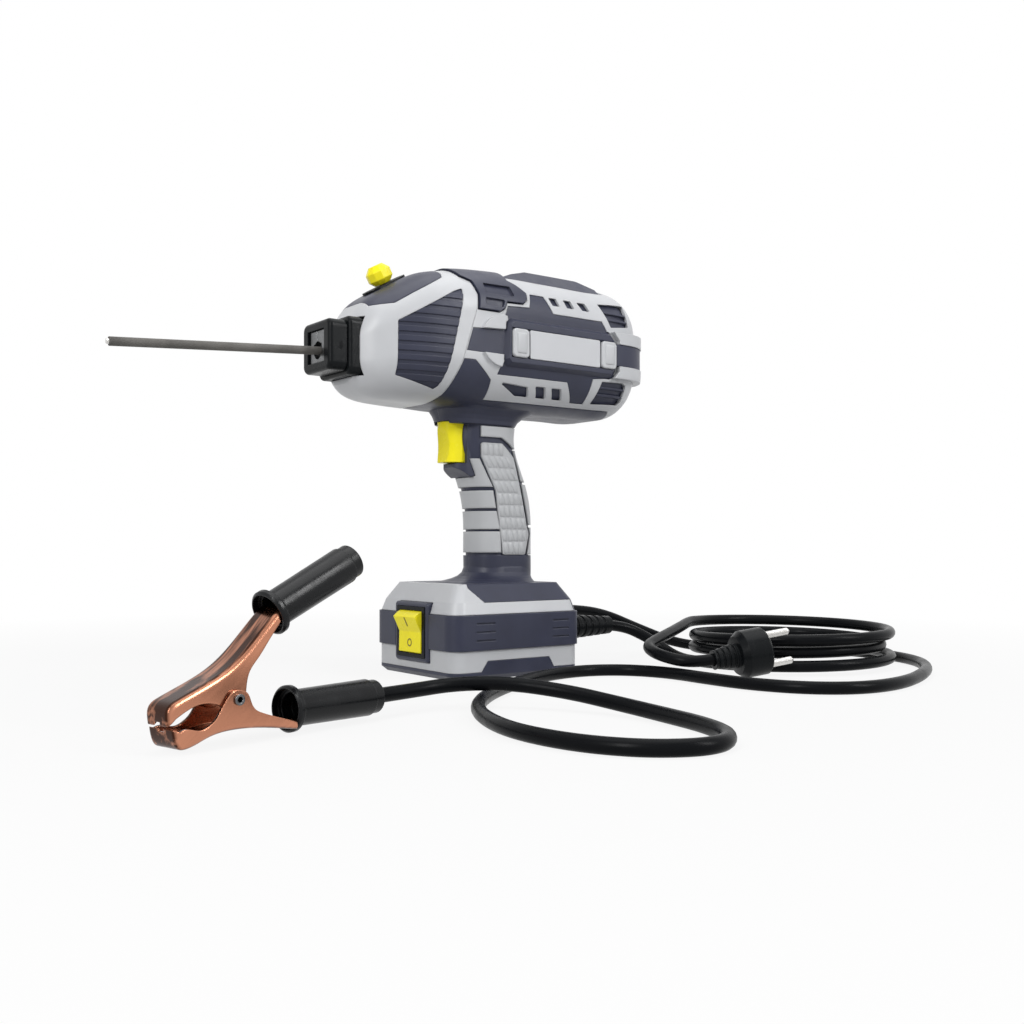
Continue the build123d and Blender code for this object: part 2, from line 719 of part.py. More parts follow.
# Pads on the grip: heights from the barrel's axis
FINGER_EDGE = [(-10.0, -79.5), (0.5, -98.5), (1.0, -101.5), (3.5, -113.5), (6.5, -127.5), (7.3, -143.5)]
FINGER_BANDS = [(-98.5, -79.5), (-113.0, -101.0), (-127.5, -115.0), (-143.5, -129.0)]
GRIP_PANEL = [
    (-9.0, -68.5),
    (8.0, -68.5),
    (19.0, -78.0),
    (30.0, -125.5),
    (32.5, -130.5),
    (28.0, -145.0),
    (9.0, -145.0),
    (3.2, -101.0),
    (-8.5, -78.0),
]
PALM_PADS = [
    [(20.5, -72.5), (21.5, -77.5), (25.3, -94.0), (60.0, -94.0), (60.0, -72.5)],
    [(25.8, -96.0), (32.3, -124.0), (60.0, -124.0), (60.0, -96.0)],
    [(32.8, -126.0), (34.7, -130.5), (30.8, -145.0), (60.0, -145.0), (60.0, -126.0)],
]
COLLAR = [(-9.0, -57.2), (60.0, -57.2), (60.0, -71.0), (19.0, -71.0), (8.0, -64.5), (-9.0, -64.5)]


def edge_x(z):
    for (x0, z0), (x1, z1) in zip(FINGER_EDGE, FINGER_EDGE[1:]):
        if z1 <= z <= z0:
            return x0 + (x1 - x0) * (z - z0) / (z1 - z0)
    return FINGER_EDGE[-1][0]


boss_room = side_prism(trigger_boss_side, -BOSS_HALF_W - MOVE_GAP, BOSS_HALF_W + MOVE_GAP, MOVE_GAP)
finger_solids = []
for low, high in FINGER_BANDS:
    band = [(-60.0, low), (edge_x(low), low), (edge_x(high), high), (-60.0, high)]
    finger_solids.append(one((pad_skin & both_sides(band)) - boss_room))
finger_pads = Compound(children=finger_solids)
panel_room = both_sides(GRIP_PANEL, 0, 1.5)
left_grip_panel = one((pad_skin & panel_room & LEFT_HALF) - boss_room)
right_grip_panel = one((pad_skin & panel_room & RIGHT_HALF) - boss_room)
palm_pads = Compound(children=[one(pad_skin & both_sides(points)) for points in PALM_PADS])
grip_collar = one((pad_skin & both_sides(COLLAR)) - boss_room)

# Trigger, its spring and its switch
trigger = block(
    (TRIGGER_FRONT_X, TRIGGER_FRONT_X + TRIGGER_L),
    (-TRIGGER_W / 2, TRIGGER_W / 2),
    trigger_z,
)
trigger = fillet(trigger.edges().filter_by(Axis.Z).sort_by(Axis.X)[:2], TRIGGER_ROUND)
hollow_x = TRIGGER_FRONT_X + TRIGGER_HOLLOW - TRIGGER_HOLLOW_R
trigger = trigger - rod_y(TRIGGER_HOLLOW_R, -20, 20, hollow_x, (trigger_z[0] + trigger_z[1]) / 2 - 3)
trigger_mid = (trigger_z[0] + trigger_z[1]) / 2
trigger_back = TRIGGER_FRONT_X + TRIGGER_L
trigger = one(trigger - rod_x(SPRING_R + 1, trigger_back - TRIGGER_TRAVEL, trigger_back + 1, 0, trigger_mid))
switch_x = trigger_back + TRIGGER_TRAVEL + 9.0
trigger_switch = block((switch_x, switch_x + 30), (-7, 7), (trigger_mid - 9, trigger_mid + 9))
trigger_switch = one(trigger_switch & grip(-PAD_T - GRIP_WALL - 2 * FIT_GAP))
spring_x = (trigger_back + 0.3, switch_x - FIT_GAP)
spring_pitch = (spring_x[1] - spring_x[0] - 2 * SPRING_WIRE_R) / SPRING_TURNS
spring_path = Helix(spring_pitch, spring_pitch * SPRING_TURNS, SPRING_R)
spring_end = Plane(spring_path @ 0, z_dir=spring_path % 0)
trigger_spring = sweep(spring_end * Circle(SPRING_WIRE_R), path=spring_path)
spring_place = Plane((spring_x[0] + SPRING_WIRE_R, 0, trigger_mid), x_dir=(0, 1, 0), z_dir=(1, 0, 0))
trigger_spring = spring_place.location * trigger_spring

def slab(z_low, z_high):
    return block((-FAR, FAR), (-FAR, FAR), (z_low, z_high))


base_outer = base_form(0)
guard_skin = base_outer - base_form(-GUARD_T)
base_inner = base_form(-HOUSING_INSET - BASE_WALL)
front_x = -BASE_L / 2
rear_x = BASE_L / 2
SIDE_STAND = [(-31.0, PLATE_H), (-26.0, 12.0), (25.0, 12.0), (29.0, PLATE_H), (29.0, PLATE_H - 1), (-31.0, PLATE_H - 1)]
UPPER_GUARD = [
    (-60.0, BAND_TOP),
    (rear_x - 5.0, BAND_TOP),
    (rear_x - 6.5, 49.8),
    (-27.0, 49.8),
    (-36.0, 59.0),
    (-36.0, 70.0),
    (-60.0, 70.0),
]
frame_y = (-SWITCH_FRAME_W / 2 - FIT_GAP, SWITCH_FRAME_W / 2 + FIT_GAP)
frame_z = (SWITCH_Z - SWITCH_FRAME_H / 2 - FIT_GAP, SWITCH_Z + SWITCH_FRAME_H / 2 + FIT_GAP)
frame_room = block((front_x - 10, front_x + HOUSING_INSET - 0.1), frame_y, frame_z)
neck_room = extrude(oval(NECK_L + 2 * FIT_GAP, NECK_W + 2 * FIT_GAP, NECK_CORNER + FIT_GAP, NECK_X, LIP_LOW - 8), 30)
stand_prism = side_prism(SIDE_STAND, -FAR, FAR)
base_plate = (base_outer & slab(-1, PLATE_H)) + (guard_skin & stand_prism & slab(0, 20))
base_lower_guard = guard_skin & slab(PLATE_H + FIT_GAP, LOWER_GUARD_TOP)
base_lower_guard = one(base_lower_guard - side_prism(SIDE_STAND, -FAR, FAR, FIT_GAP) - frame_room)
base_upper_guard = guard_skin & side_prism(UPPER_GUARD, -FAR, FAR, -FIT_GAP)
base_upper_guard = one(base_upper_guard - block((front_x - 10, front_x + 8), frame_y, frame_z) - neck_room)
base_housing = base_form(-HOUSING_INSET) & slab(PLATE_H + FIT_GAP, 100)
band = base_form(BAND_PROUD) & slab(LOWER_GUARD_TOP + FIT_GAP, BAND_TOP - FIT_GAP)
GROOVE_X = [(-36.0, -21.0), (27.0, 41.0)]
GROOVE_Z = (25.0, 30.5, 36.0)
GROOVE_H = 0.9
groove_y = BASE_W / 2 + BAND_PROUD - 0.8
for x_range in GROOVE_X:
    for z in GROOVE_Z:
        band = band - block(x_range, (-60, 60), (z, z + GROOVE_H)) + (band & block(x_range, (-groove_y, groove_y), (z - 1, z + 2)))
rear_skin = (base_outer & slab(BAND_TOP - 1, 100)) - side_prism(UPPER_GUARD, -FAR, FAR)
base_housing = base_housing + band + rear_skin - base_inner
screw_spots = [(sx * 42.0, sy * 37.0) for sx in (-1, 1) for sy in (-1, 1)]
for x, y in screw_spots:
    base_housing = base_housing + (rod_z(SCREW_POST_R, PLATE_H + FIT_GAP, 22, x, y) & base_outer)
base_housing = base_housing - frame_room - neck_room
SWITCH_HALF_W = SWITCH_FRAME_W / 2 - SWITCH_FRAME_RIM - 0.2
SWITCH_HALF_H = SWITCH_FRAME_H / 2 - SWITCH_FRAME_RIM
base_housing = base_housing - block(
    (front_x - 5, front_x + 12),
    (-SWITCH_HALF_W - FIT_GAP, SWITCH_HALF_W + FIT_GAP),
    (SWITCH_Z - SWITCH_HALF_H - FIT_GAP, SWITCH_Z + SWITCH_HALF_H + FIT_GAP),
)
head_low = 0.4
for x, y in screw_spots:
    shank_low = head_low + SCREW_HEAD_H
    screw = rod_z(SCREW_HEAD_R, head_low, shank_low, x, y) + rod_z(SCREW_R, shank_low, shank_low + BASE_SCREW_L, x, y)
    screws.append(screw)
    base_plate = base_plate - rod_z(SCREW_HEAD_R + FIT_GAP, -1, shank_low, x, y)
    base_plate = base_plate - rod_z(SCREW_R + RUN_GAP, -1, 10, x, y)
    base_housing = base_housing - rod_z(SCREW_R + RUN_GAP, -1, shank_low + BASE_SCREW_L + 0.5, x, y)
case_screws = Compound(children=screws)
feet = []
for x in (-FOOT_PITCH_X / 2, FOOT_PITCH_X / 2):
    for y in (-FOOT_PITCH_Y / 2, FOOT_PITCH_Y / 2):
        feet.append(rod_z(FOOT_R, 0, FOOT_T, x, y))
        base_plate = base_plate - rod_z(FOOT_R + FIT_GAP, -1, FOOT_T + RUN_GAP, x, y)
rubber_feet = Compound(children=feet)
base_plate = one(base_plate)

# Mains switch: frame, body and rocker
switch_frame = block(
    (front_x - 2.0, front_x + HOUSING_INSET - 0.25),
    (-SWITCH_FRAME_W / 2, SWITCH_FRAME_W / 2),
    (SWITCH_Z - SWITCH_FRAME_H / 2, SWITCH_Z + SWITCH_FRAME_H / 2),
)
switch_frame = fillet(switch_frame.edges().filter_by(Axis.X), 2.0)
switch_frame = chamfer(switch_frame.faces().sort_by(Axis.X)[0].edges(), 1.2)
switch_frame = switch_frame - block(
    (front_x - 10, front_x + 10),
    (-SWITCH_HALF_W - FIT_GAP, SWITCH_HALF_W + FIT_GAP),
    (SWITCH_Z - SWITCH_HALF_H - FIT_GAP, SWITCH_Z + SWITCH_HALF_H + FIT_GAP),
)
pivot_x = front_x + ROCKER_PIVOT_IN
switch_body = block(
    (front_x - 2.5, front_x + 24),
    (-SWITCH_HALF_W, SWITCH_HALF_W),
    (SWITCH_Z - SWITCH_HALF_H, SWITCH_Z + SWITCH_HALF_H),
)
rocker_half = ROCKER_W / 2
cavity_half = rocker_half + MOVE_GAP
switch_body = switch_body - rod_y(ROCKER_R + MOVE_GAP, -cavity_half, cavity_half, pivot_x, SWITCH_Z)
pin_half = rocker_half + ROCKER_PIN_L
switch_body = switch_body - rod_y(ROCKER_PIN_R + RUN_GAP, -pin_half - 0.3, pin_half + 0.3, pivot_x, SWITCH_Z)
switch_body = one(switch_body)
ROCKER_LEAN = ROCKER_HALF_THROW + 1.5
ROCKER_FACE = 6.8  # middle of the rocker's face, ahead of the pivot
face_top = ROCKER_FACE + (ROCKER_R + 1) * math.tan(math.radians(ROCKER_LEAN + ROCKER_HALF_THROW))
face_low = ROCKER_FACE + (ROCKER_R + 1) * math.tan(math.radians(ROCKER_LEAN - ROCKER_HALF_THROW))
rocker_side = [
    (pivot_x + 7, SWITCH_Z - ROCKER_R - 1),
    (pivot_x - face_low, SWITCH_Z - ROCKER_R - 1),
    (pivot_x - ROCKER_FACE, SWITCH_Z),
    (pivot_x - face_top, SWITCH_Z + ROCKER_R + 1),
    (pivot_x + 7, SWITCH_Z + ROCKER_R + 1),
]
rocker = rod_y(ROCKER_R, -rocker_half, rocker_half, pivot_x, SWITCH_Z)
rocker = rocker & side_prism(rocker_side, -FAR, FAR)
rocker = one(rocker + rod_y(ROCKER_PIN_R, -pin_half, pin_half, pivot_x, SWITCH_Z))

# Nose block, its jaws and the electrode
rod_dir = (-math.cos(math.radians(ROD_PITCH)), 0, -math.sin(math.radians(ROD_PITCH)))
rod_plane = Plane((NOSE_X + 2, 0, NOSE_Z - 1.2), x_dir=(0, 1, 0), z_dir=rod_dir)
electrode_core = extrude(rod_plane * Circle(ROD_CORE_R), ROD_LENGTH)
coat_start = ROD_IN_L
coat = extrude(rod_plane.offset(coat_start) * Circle(ROD_COAT_R), ROD_LENGTH - coat_start - 1.5)
electrode_coating = coat - extrude(rod_plane * Circle(ROD_CORE_R + RUN_GAP), ROD_LENGTH)
rod_room = extrude(rod_plane.offset(-0.5) * Circle(ROD_CORE_R + RUN_GAP), ROD_LENGTH)
nose_flange = block(flange_x, (-FLANGE_W / 2, FLANGE_W / 2), (NOSE_Z - FLANGE_H / 2, NOSE_Z + FLANGE_H / 2))
nose_flange = fillet(nose_flange.edges().filter_by(Axis.X), 5.0)
nose_flange = fillet(nose_flange.faces().sort_by(Axis.X)[0].edges(), 2.0)
nose_flange = one(nose_flange - rod_room)
holder_x = (flange_x[0] - 0.1 - HOLDER_L, flange_x[0] - 0.1)
holder_block = block(holder_x, (-HOLDER_W / 2, HOLDER_W / 2), (NOSE_Z - HOLDER_H / 2, NOSE_Z + HOLDER_H / 2))
holder_block = fillet(holder_block.edges().filter_by(Axis.X), 5.0)
holder_block = fillet(holder_block.faces().sort_by(Axis.X)[0].edges(), 2.6)
jaw_in_x = (holder_x[0] + 1.3, holder_x[0] + 1.3 + JAW_L)
jaw_room_half = MOVE_GAP + JAW_W + JAW_TRAVEL + MOVE_GAP
holder_block = holder_block - block(
    (holder_x[0] - 1, jaw_in_x[1] + MOVE_GAP),
    (-jaw_room_half, jaw_room_half),
    (NOSE_Z - JAW_H / 2 - MOVE_GAP, NOSE_Z + JAW_H / 2 + MOVE_GAP),
)
holder_block = one(holder_block - extrude(rod_plane * Circle(ROD_CORE_R + 0.6), ROD_LENGTH))
jaw = block(jaw_in_x, (MOVE_GAP, MOVE_GAP + JAW_W), (NOSE_Z - JAW_H / 2, NOSE_Z + JAW_H / 2))
jaw_mid_x = (jaw_in_x[0] + jaw_in_x[1]) / 2
jaw_rod_z = rod_plane.origin.Z + (jaw_mid_x - rod_plane.origin.X) * math.tan(math.radians(ROD_PITCH))
jaw = jaw - extrude(rod_plane * Circle(ROD_CORE_R + MOVE_GAP), ROD_LENGTH)
jaw_port_x = (jaw_in_x[0] - 1, jaw_in_x[0] + JAW_L * JAW_PORT_SHARE)
jaw = jaw - rod_x(JAW_PORT_R, *jaw_port_x, 0, jaw_rod_z)
jaw = one(jaw - block(jaw_port_x, (-1, JAW_PORT_R), (jaw_rod_z, jaw_rod_z + 4)))
right_jaw = jaw
left_jaw = mirror(jaw, Plane.XZ)

# Release slide on the nose
slot_bezel = extrude(slide_plane.offset(-3.5) * SlotOverall(BEZEL_L, BEZEL_W), 5.0)
slot_bezel = one(slot_bezel - stem_room)
foot_low = -9.6
release_slider = extrude(slide_plane.offset(foot_low) * Rectangle(20, 11), 2.0)
release_slider = release_slider + extrude(slide_plane.offset(foot_low) * Circle(STEM_R), 12.0 - foot_low)
KNOB_LOW = 1.5 + MOVE_GAP
knob_profile = [
    (STEM_R + FIT_GAP, KNOB_LOW),
    (KNOB_R - 3.0, KNOB_LOW),
    (KNOB_R, KNOB_LOW + 3.2),
    (KNOB_R, KNOB_LOW + KNOB_H - 4),
    (KNOB_R - 3.6, KNOB_LOW + KNOB_H),
]
knob_levels = [(height, radius) for radius, height in knob_profile[1:5]]
release_knob = loft([slide_plane.offset(h) * RegularPolygon(r, KNOB_SIDES) for h, r in knob_levels], ruled=True)
release_knob = release_knob - extrude(slide_plane * Circle(STEM_R + FIT_GAP), 12.0 + FIT_GAP)

# Power parts on a board across the barrel
main_board = barrel(INNER_OFFSET - BOARD_CLEAR) & block(BOARD_X, (-60, 60), (board_top - BOARD_T, board_top))
stand = board_top + 0.1
TRAFO_X = 20.0
transformer_core = block(
    (TRAFO_X - CORE_DEPTH / 2, TRAFO_X + CORE_DEPTH / 2), (-CORE_L / 2, CORE_L / 2), (stand, stand + CORE_H)
)
for side in (-1, 1):
    edges = sorted((side * CORE_LEG / 2, side * (CORE_L / 2 - CORE_LEG * 0.65)))
    transformer_core = transformer_core - block((-50, 90), edges, (stand + 7, stand + CORE_H - 7))
winding_y = CORE_L / 2 - CORE_LEG * 0.65 - FIT_GAP
transformer_winding = block(
    (TRAFO_X - CORE_DEPTH / 2 - 6, TRAFO_X + CORE_DEPTH / 2 + 6),
    (-winding_y, winding_y),
    (stand + 7 + FIT_GAP, stand + CORE_H - 7 - FIT_GAP),
)
transformer_winding = fillet(transformer_winding.edges().filter_by(Axis.Z), 4.0)
transformer_winding = transformer_winding - block(
    (TRAFO_X - CORE_DEPTH / 2 - FIT_GAP, TRAFO_X + CORE_DEPTH / 2 + FIT_GAP),
    (-CORE_LEG / 2 - FIT_GAP, CORE_LEG / 2 + FIT_GAP),
    (stand, stand + CORE_H),
)
SINK_X = 41.0
heatsink = block((SINK_X, SINK_X + SINK_L), (-SINK_W / 2, SINK_W / 2), (stand, stand + 3))
for i in range(FIN_COUNT):
    y = -SINK_W / 2 + i * (SINK_W - FIN_T) / (FIN_COUNT - 1)
    heatsink = heatsink + block((SINK_X, SINK_X + SINK_L), (y, y + FIN_T), (stand, stand + SINK_H))
cap_top = board_top - BOARD_T - 0.1
filter_capacitors = Compound(
    children=[rod_z(CAP_R, cap_top - CAP_H, cap_top, 10 + i * CAP_PITCH, 0) for i in range(3)]
)
output_bar = block((flange_x[1] + FIT_GAP, 2.0), (-BAR_W / 2, BAR_W / 2), (stand, stand + BAR_T))

# Fan behind the board
duct_r = FAN_R + FAN_TIP_GAP
duct_end = FAN_X + FAN_PLATE_T + FAN_DUCT_L - 3
fan_frame = barrel(INNER_OFFSET - FIT_GAP) & block((FAN_X, FAN_X + FAN_PLATE_T), (-60, 60), (0, 300))
fan_frame = fan_frame + rod_x(duct_r + 2.5, FAN_X, duct_end, 0, BARREL_Z)
fan_frame = fan_frame - rod_x(duct_r, FAN_X - 1, duct_end + 1, 0, BARREL_Z)
for i in range(3):
    arm = Rot(120 * i, 0, 0) * block((duct_end - 2.5, duct_end), (-2, 2), (0, duct_r + 1))
    fan_frame = fan_frame + Pos(0, 0, BARREL_Z) * arm
fan_frame = fan_frame + rod_x(FAN_HUB_R - 2, duct_end - 2.5, duct_end, 0, BARREL_Z)
fan_frame = one(fan_frame + rod_x(FAN_POST_R, FAN_X + 2, duct_end, 0, BARREL_Z))
rotor_x = (FAN_X + 2.5, duct_end - 3.5)
fan_rotor = rod_x(FAN_HUB_R, rotor_x[0], rotor_x[1], 0, 0)
blade_x = (rotor_x[0] + rotor_x[1]) / 2
for i in range(FAN_BLADES):
    blade = Pos(blade_x, 0, (FAN_HUB_R + FAN_R) / 2 - 1) * Rot(0, 0, 50) * Box(1.4, 9.5, FAN_R - FAN_HUB_R + 2)
    fan_rotor = fan_rotor + Rot(360 * i / FAN_BLADES, 0, 0) * blade
fan_rotor = fan_rotor & rod_x(FAN_R, rotor_x[0] - 3, rotor_x[1] + 3, 0, 0)
fan_rotor = one(Pos(0, 0, BARREL_Z) * (fan_rotor - rod_x(FAN_POST_R + RUN_GAP, -FAR, FAR, 0, 0)))

# Strain relief and gland on the base's rear
def exit_plane(y, z):
    return Plane((0, y, z), x_dir=(0, 1, 0), z_dir=(1, 0, 0))


seat_x = rear_x + BAND_PROUD + 0.2
wall_in = rear_x - HOUSING_INSET - BASE_WALL - FIT_GAP
cord_bore = CORD_R + RUN_GAP
relief_end = rear_x + RELIEF_L
relief_bore_x = relief_end - 14.0
relief = [(0, wall_in - 2.5), (RELIEF_R + 2.5, wall_in - 2.5), (RELIEF_R + 2.5, wall_in), (RELIEF_R, wall_in)]
relief += [(RELIEF_R, seat_x), (RELIEF_R + 1.5, seat_x), (RELIEF_R + 1.5, seat_x + 3.5)]
rib_step = (relief_end - 3 - seat_x - 3.5) / (2 * RELIEF_RIBS)
for i in range(2 * RELIEF_RIBS):
    x = seat_x + 3.5 + i * rib_step
    share = i / (2 * RELIEF_RIBS)
    radius = RELIEF_R + (RELIEF_END_R - RELIEF_R) * share - (0.9 if i % 2 == 0 else 0)
    relief += [(radius, x), (radius, x + rib_step)]
relief += [(RELIEF_END_R, relief_end - 3), (RELIEF_END_R, relief_end), (cord_bore, relief_end)]
relief += [(cord_bore, relief_bore_x), (0, relief_bore_x)]
mains_strain_relief = turned(relief, exit_plane(MAINS_EXIT_Y, MAINS_EXIT_Z))
base_housing = base_housing - rod_x(RELIEF_R + FIT_GAP, wall_in - 4, rear_x + 4, MAINS_EXIT_Y, MAINS_EXIT_Z)
gland_end = seat_x + GLAND_L
gland = [(0, wall_in - 2.5), (GLAND_R, wall_in - 2.5), (GLAND_R, wall_in), (GLAND_END_R, wall_in), (GLAND_END_R, seat_x)]
gland += [(GLAND_R, seat_x), (GLAND_R, seat_x + 5), (GLAND_END_R, gland_end), (cord_bore, gland_end)]
gland += [(cord_bore, gland_end - 10), (0, gland_end - 10)]
earth_gland = turned(gland, exit_plane(EARTH_EXIT_Y, EARTH_EXIT_Z))
base_housing = base_housing - rod_x(GLAND_END_R + FIT_GAP, wall_in - 4, rear_x + 4, EARTH_EXIT_Y, EARTH_EXIT_Z)
base_housing = base_housing - rod_x(GLAND_R + FIT_GAP, wall_in - 4, wall_in + RUN_GAP, EARTH_EXIT_Y, EARTH_EXIT_Z)
base_housing = one(base_housing)


# Leads: round tubes on rounded routes
def tube(path, name):
    shape = sweep(Plane(path @ 0, z_dir=path % 0) * Circle(CORD_R), path=path)
    expected = math.pi * CORD_R**2 * path.length
    print(name, "length", round(path.length), "volume share", round(shape.volume / expected, 4), shape.is_valid)
    return shape


def lead(points, name):
    spots = [Vector(*point) for point in points]
    radii = []
    for before, here, after in zip(spots, spots[1:], spots[2:]):
        run_in = here - before
        run_out = after - here
        half_turn = math.radians(run_in.get_angle(run_out)) / 2
        radii.append(0.45 * min(run_in.length, run_out.length) / math.tan(half_turn))
    print(name, "least radius", round(min(radii), 1), [round(radius) for radius in radii])
    return tube(FilletPolyline(*spots, radius=radii), name)


def biarc(start, start_dir, end, end_dir):
    """Two arcs from one point and direction to another."""
    span = end - start
    both = start_dir + end_dir
    fall = 1 - start_dir.dot(end_dir)
    if fall < 1e-6:
        reach = span.dot(span) / (4 * span.dot(end_dir))
    else:
        ahead = span.dot(both)
        reach = (-ahead + math.sqrt(ahead**2 + 2 * fall * span.dot(span))) / (2 * fall)
    near = start + start_dir * reach
    far = end - end_dir * reach
    joint = (near + far) * 0.5
    return [
        TangentArc(start, joint, tangent=start_dir),
        TangentArc(joint, end, tangent=(far - near).normalized()),
    ]


COIL_TURNS = (COIL_END - COIL_START) / 360
COIL_LOW = CORD_R + 0.9


def coil_spot(degrees):
    turn = (degrees - COIL_START) / 360
    radius = COIL_R + COIL_SWAY * math.cos(2 * math.pi * turn / COIL_TURNS)
    angle = math.radians(degrees)
    return Vector(COIL_X + radius * math.cos(angle), COIL_Y + radius * math.sin(angle), COIL_LOW + COIL_RISE * turn)


def coil_dir(degrees):
    return (coil_spot(degrees + 0.01) - coil_spot(degrees - 0.01)).normalized()


plug_tilt = math.radians(PLUG_TILT)
plug_flat = Vector(math.cos(math.radians(PLUG_AIM)), math.sin(math.radians(PLUG_AIM)), 0)
plug_dir = plug_flat * math.cos(plug_tilt) + Vector(0, 0, math.sin(plug_tilt))
plug_up = plug_flat * -math.sin(plug_tilt) + Vector(0, 0, math.cos(plug_tilt))
PLUG_Z = PLUG_R * math.cos(plug_tilt) + PLUG_T * math.sin(plug_tilt) + 0.1
plug_face = Vector(PLUG_X, PLUG_Y, PLUG_Z)
PLUG_BACK = PLUG_T + PLUG_NECK_L
neck_in = plug_face - plug_dir * (PLUG_BACK + 2)
neck_stop = plug_face - plug_dir * (PLUG_BACK - 9)
step_count = round(4 * COIL_TURNS)
stations = [COIL_START + i * (COIL_END - COIL_START) / step_count for i in range(step_count + 1)]
coil_in = coil_spot(COIL_START) - coil_dir(COIL_START) * (CORD_D + 0.5)
coil_edges = [Line(coil_in, coil_spot(COIL_START))]
for low, high in zip(stations, stations[1:]):
    coil_edges += biarc(coil_spot(low), coil_dir(low), coil_spot(high), coil_dir(high))
coil_out = coil_spot(COIL_END)
TAIL_TURN = Vector(84.4, -85.3, 20.5)  # where the lead swings round to the plug
tail_dir = Vector(-0.883, -0.469, -0.1).normalized()
coil_edges += biarc(coil_out, coil_dir(COIL_END), TAIL_TURN, tail_dir)
coil_edges += biarc(TAIL_TURN, tail_dir, neck_in, plug_dir)
coil_edges += [Line(neck_in, neck_stop)]
coil_path = Wire(coil_edges)
mains_coil = tube(coil_path, "mains_coil")
samples = [coil_path.position_at(i / 1500) for i in range(1501)]
sample_step = coil_path.length / 1500
skip = round(60 / sample_step)
nearest = min((samples[j] - samples[i]).length for i in range(0, 1501, 3) for j in range(i + skip, 1501, 2))
print("mains_coil least gap between turns", round(nearest - CORD_D, 2))

MAINS_ROUTE = [
    (relief_end - 12, MAINS_EXIT_Y, MAINS_EXIT_Z),
    (relief_end + 12, MAINS_EXIT_Y, MAINS_EXIT_Z),
    (133.0, -35.5, 17.0),
    tuple(coil_in - coil_dir(COIL_START) * 24),
    tuple(coil_in),
]
mains_cord = lead(MAINS_ROUTE, "mains_cord")
LOW = CORD_R + 0.1  # a lead lying on the floor
EARTH_ROUTE = [
    (gland_end - 9, EARTH_EXIT_Y, EARTH_EXIT_Z),
    (88, EARTH_EXIT_Y, EARTH_EXIT_Z),
    (124, 10, 35),
    (158, 7, 22),
    (192, 0, 9),
    (225, -12, LOW),
    (255, -32, LOW),
    (278, -62, LOW),
    (289, -98, LOW),
    (285, -135, LOW),
    (268, -168, LOW),
    (240, -195, LOW),
    (203, -217, LOW),
    (150, -238, LOW),
    (108, -240, LOW),
    (80, -221, LOW),
    (67, -186, LOW),
    (68, -148, LOW),
    (71, -115, LOW),
    (59, -85, LOW),
    (32, -72, LOW),
    (-8, -80, LOW),
    (-50, -104, LOW),
    (-88, -133, LOW),
    (-115, -162, LOW),
    (-132, -191, LOW),
    (-143, -222, LOW),
    (-146, -250, LOW),
    (-141, -280, LOW),
    (-126, -304, LOW),
    (-101, -315, LOW),
    (-78, -303, LOW),
    (-65, -275, LOW),
    (-58, -240, LOW),
    (-58, -210, 5.5),
    (-68, -180, 9.5),
    (-88, -154, 13),
    (-112, -138.5, 13),
]
clamp_dir = Vector(math.cos(math.radians(CLAMP_AIM)), math.sin(math.radians(CLAMP_AIM)), 0)
clamp_origin = Vector(CLAMP_X, CLAMP_Y, 0)
sleeve_end = clamp_origin + clamp_dir * (LOWER_SLEEVE_S + SLEEVE_L) + Vector(0, 0, LOWER_SLEEVE_Z)
EARTH_ROUTE += [tuple(sleeve_end + clamp_dir * 26), tuple(sleeve_end - clamp_dir * 1 + Vector(0, 0, 0.3))]
earth_cable = lead(EARTH_ROUTE, "earth_cable")

# Plug
plug_plane = Plane(plug_face, x_dir=plug_up, z_dir=plug_dir)
plug_profile = [
    (0, 0),
    (PLUG_R - 1.2, 0),
    (PLUG_R, -1.2),
    (PLUG_R, -PLUG_T + 4),
    (PLUG_R - 3, -PLUG_T),
    (PLUG_NECK_R, -PLUG_T - 0.5),
]
plug_pitch = (PLUG_NECK_L - 1.5) / PLUG_RIBS
for i in range(PLUG_RIBS):
    rib_r = PLUG_NECK_R + (PLUG_END_R - PLUG_NECK_R) * i / (PLUG_RIBS - 1)
    rib_back = -PLUG_T - 0.5 - i * plug_pitch
    plug_profile += [(rib_r, rib_back - plug_pitch * 0.55), (rib_r - PLUG_GROOVE, rib_back - plug_pitch * 0.6)]
    plug_profile += [(rib_r - PLUG_GROOVE, rib_back - plug_pitch * 0.9), (rib_r - 0.1, rib_back - plug_pitch)]
plug_profile += [
    (PLUG_END_R, -PLUG_BACK),
    (cord_bore, -PLUG_BACK),
    (cord_bore, -PLUG_BACK + 10),
    (0, -PLUG_BACK + 10),
]
plug_body = turned(plug_profile, plug_plane)
pins = []
for side in (-1, 1):
    place = Plane(plug_face + plug_up * (side * PIN_PITCH / 2), x_dir=plug_up, z_dir=plug_dir)
    pin = [(0, -8), (PIN_ROOT_R, -8), (PIN_ROOT_R, 0), (PIN_R, 0), (PIN_R, PIN_L - 1.2), (PIN_R - 1.2, PIN_L), (0, PIN_L)]
    pins.append(turned(pin, place))
    plug_body = plug_body - extrude(place.offset(-8.1) * Circle(PIN_ROOT_R + RUN_GAP), 20)
plug_pins = Compound(children=pins)
plug_body = one(plug_body)

# Earth clamp, drawn in its own plane and then set down on the floor
clamp_place = Pos(CLAMP_X, CLAMP_Y, 0) * Rot(0, 0, CLAMP_AIM)
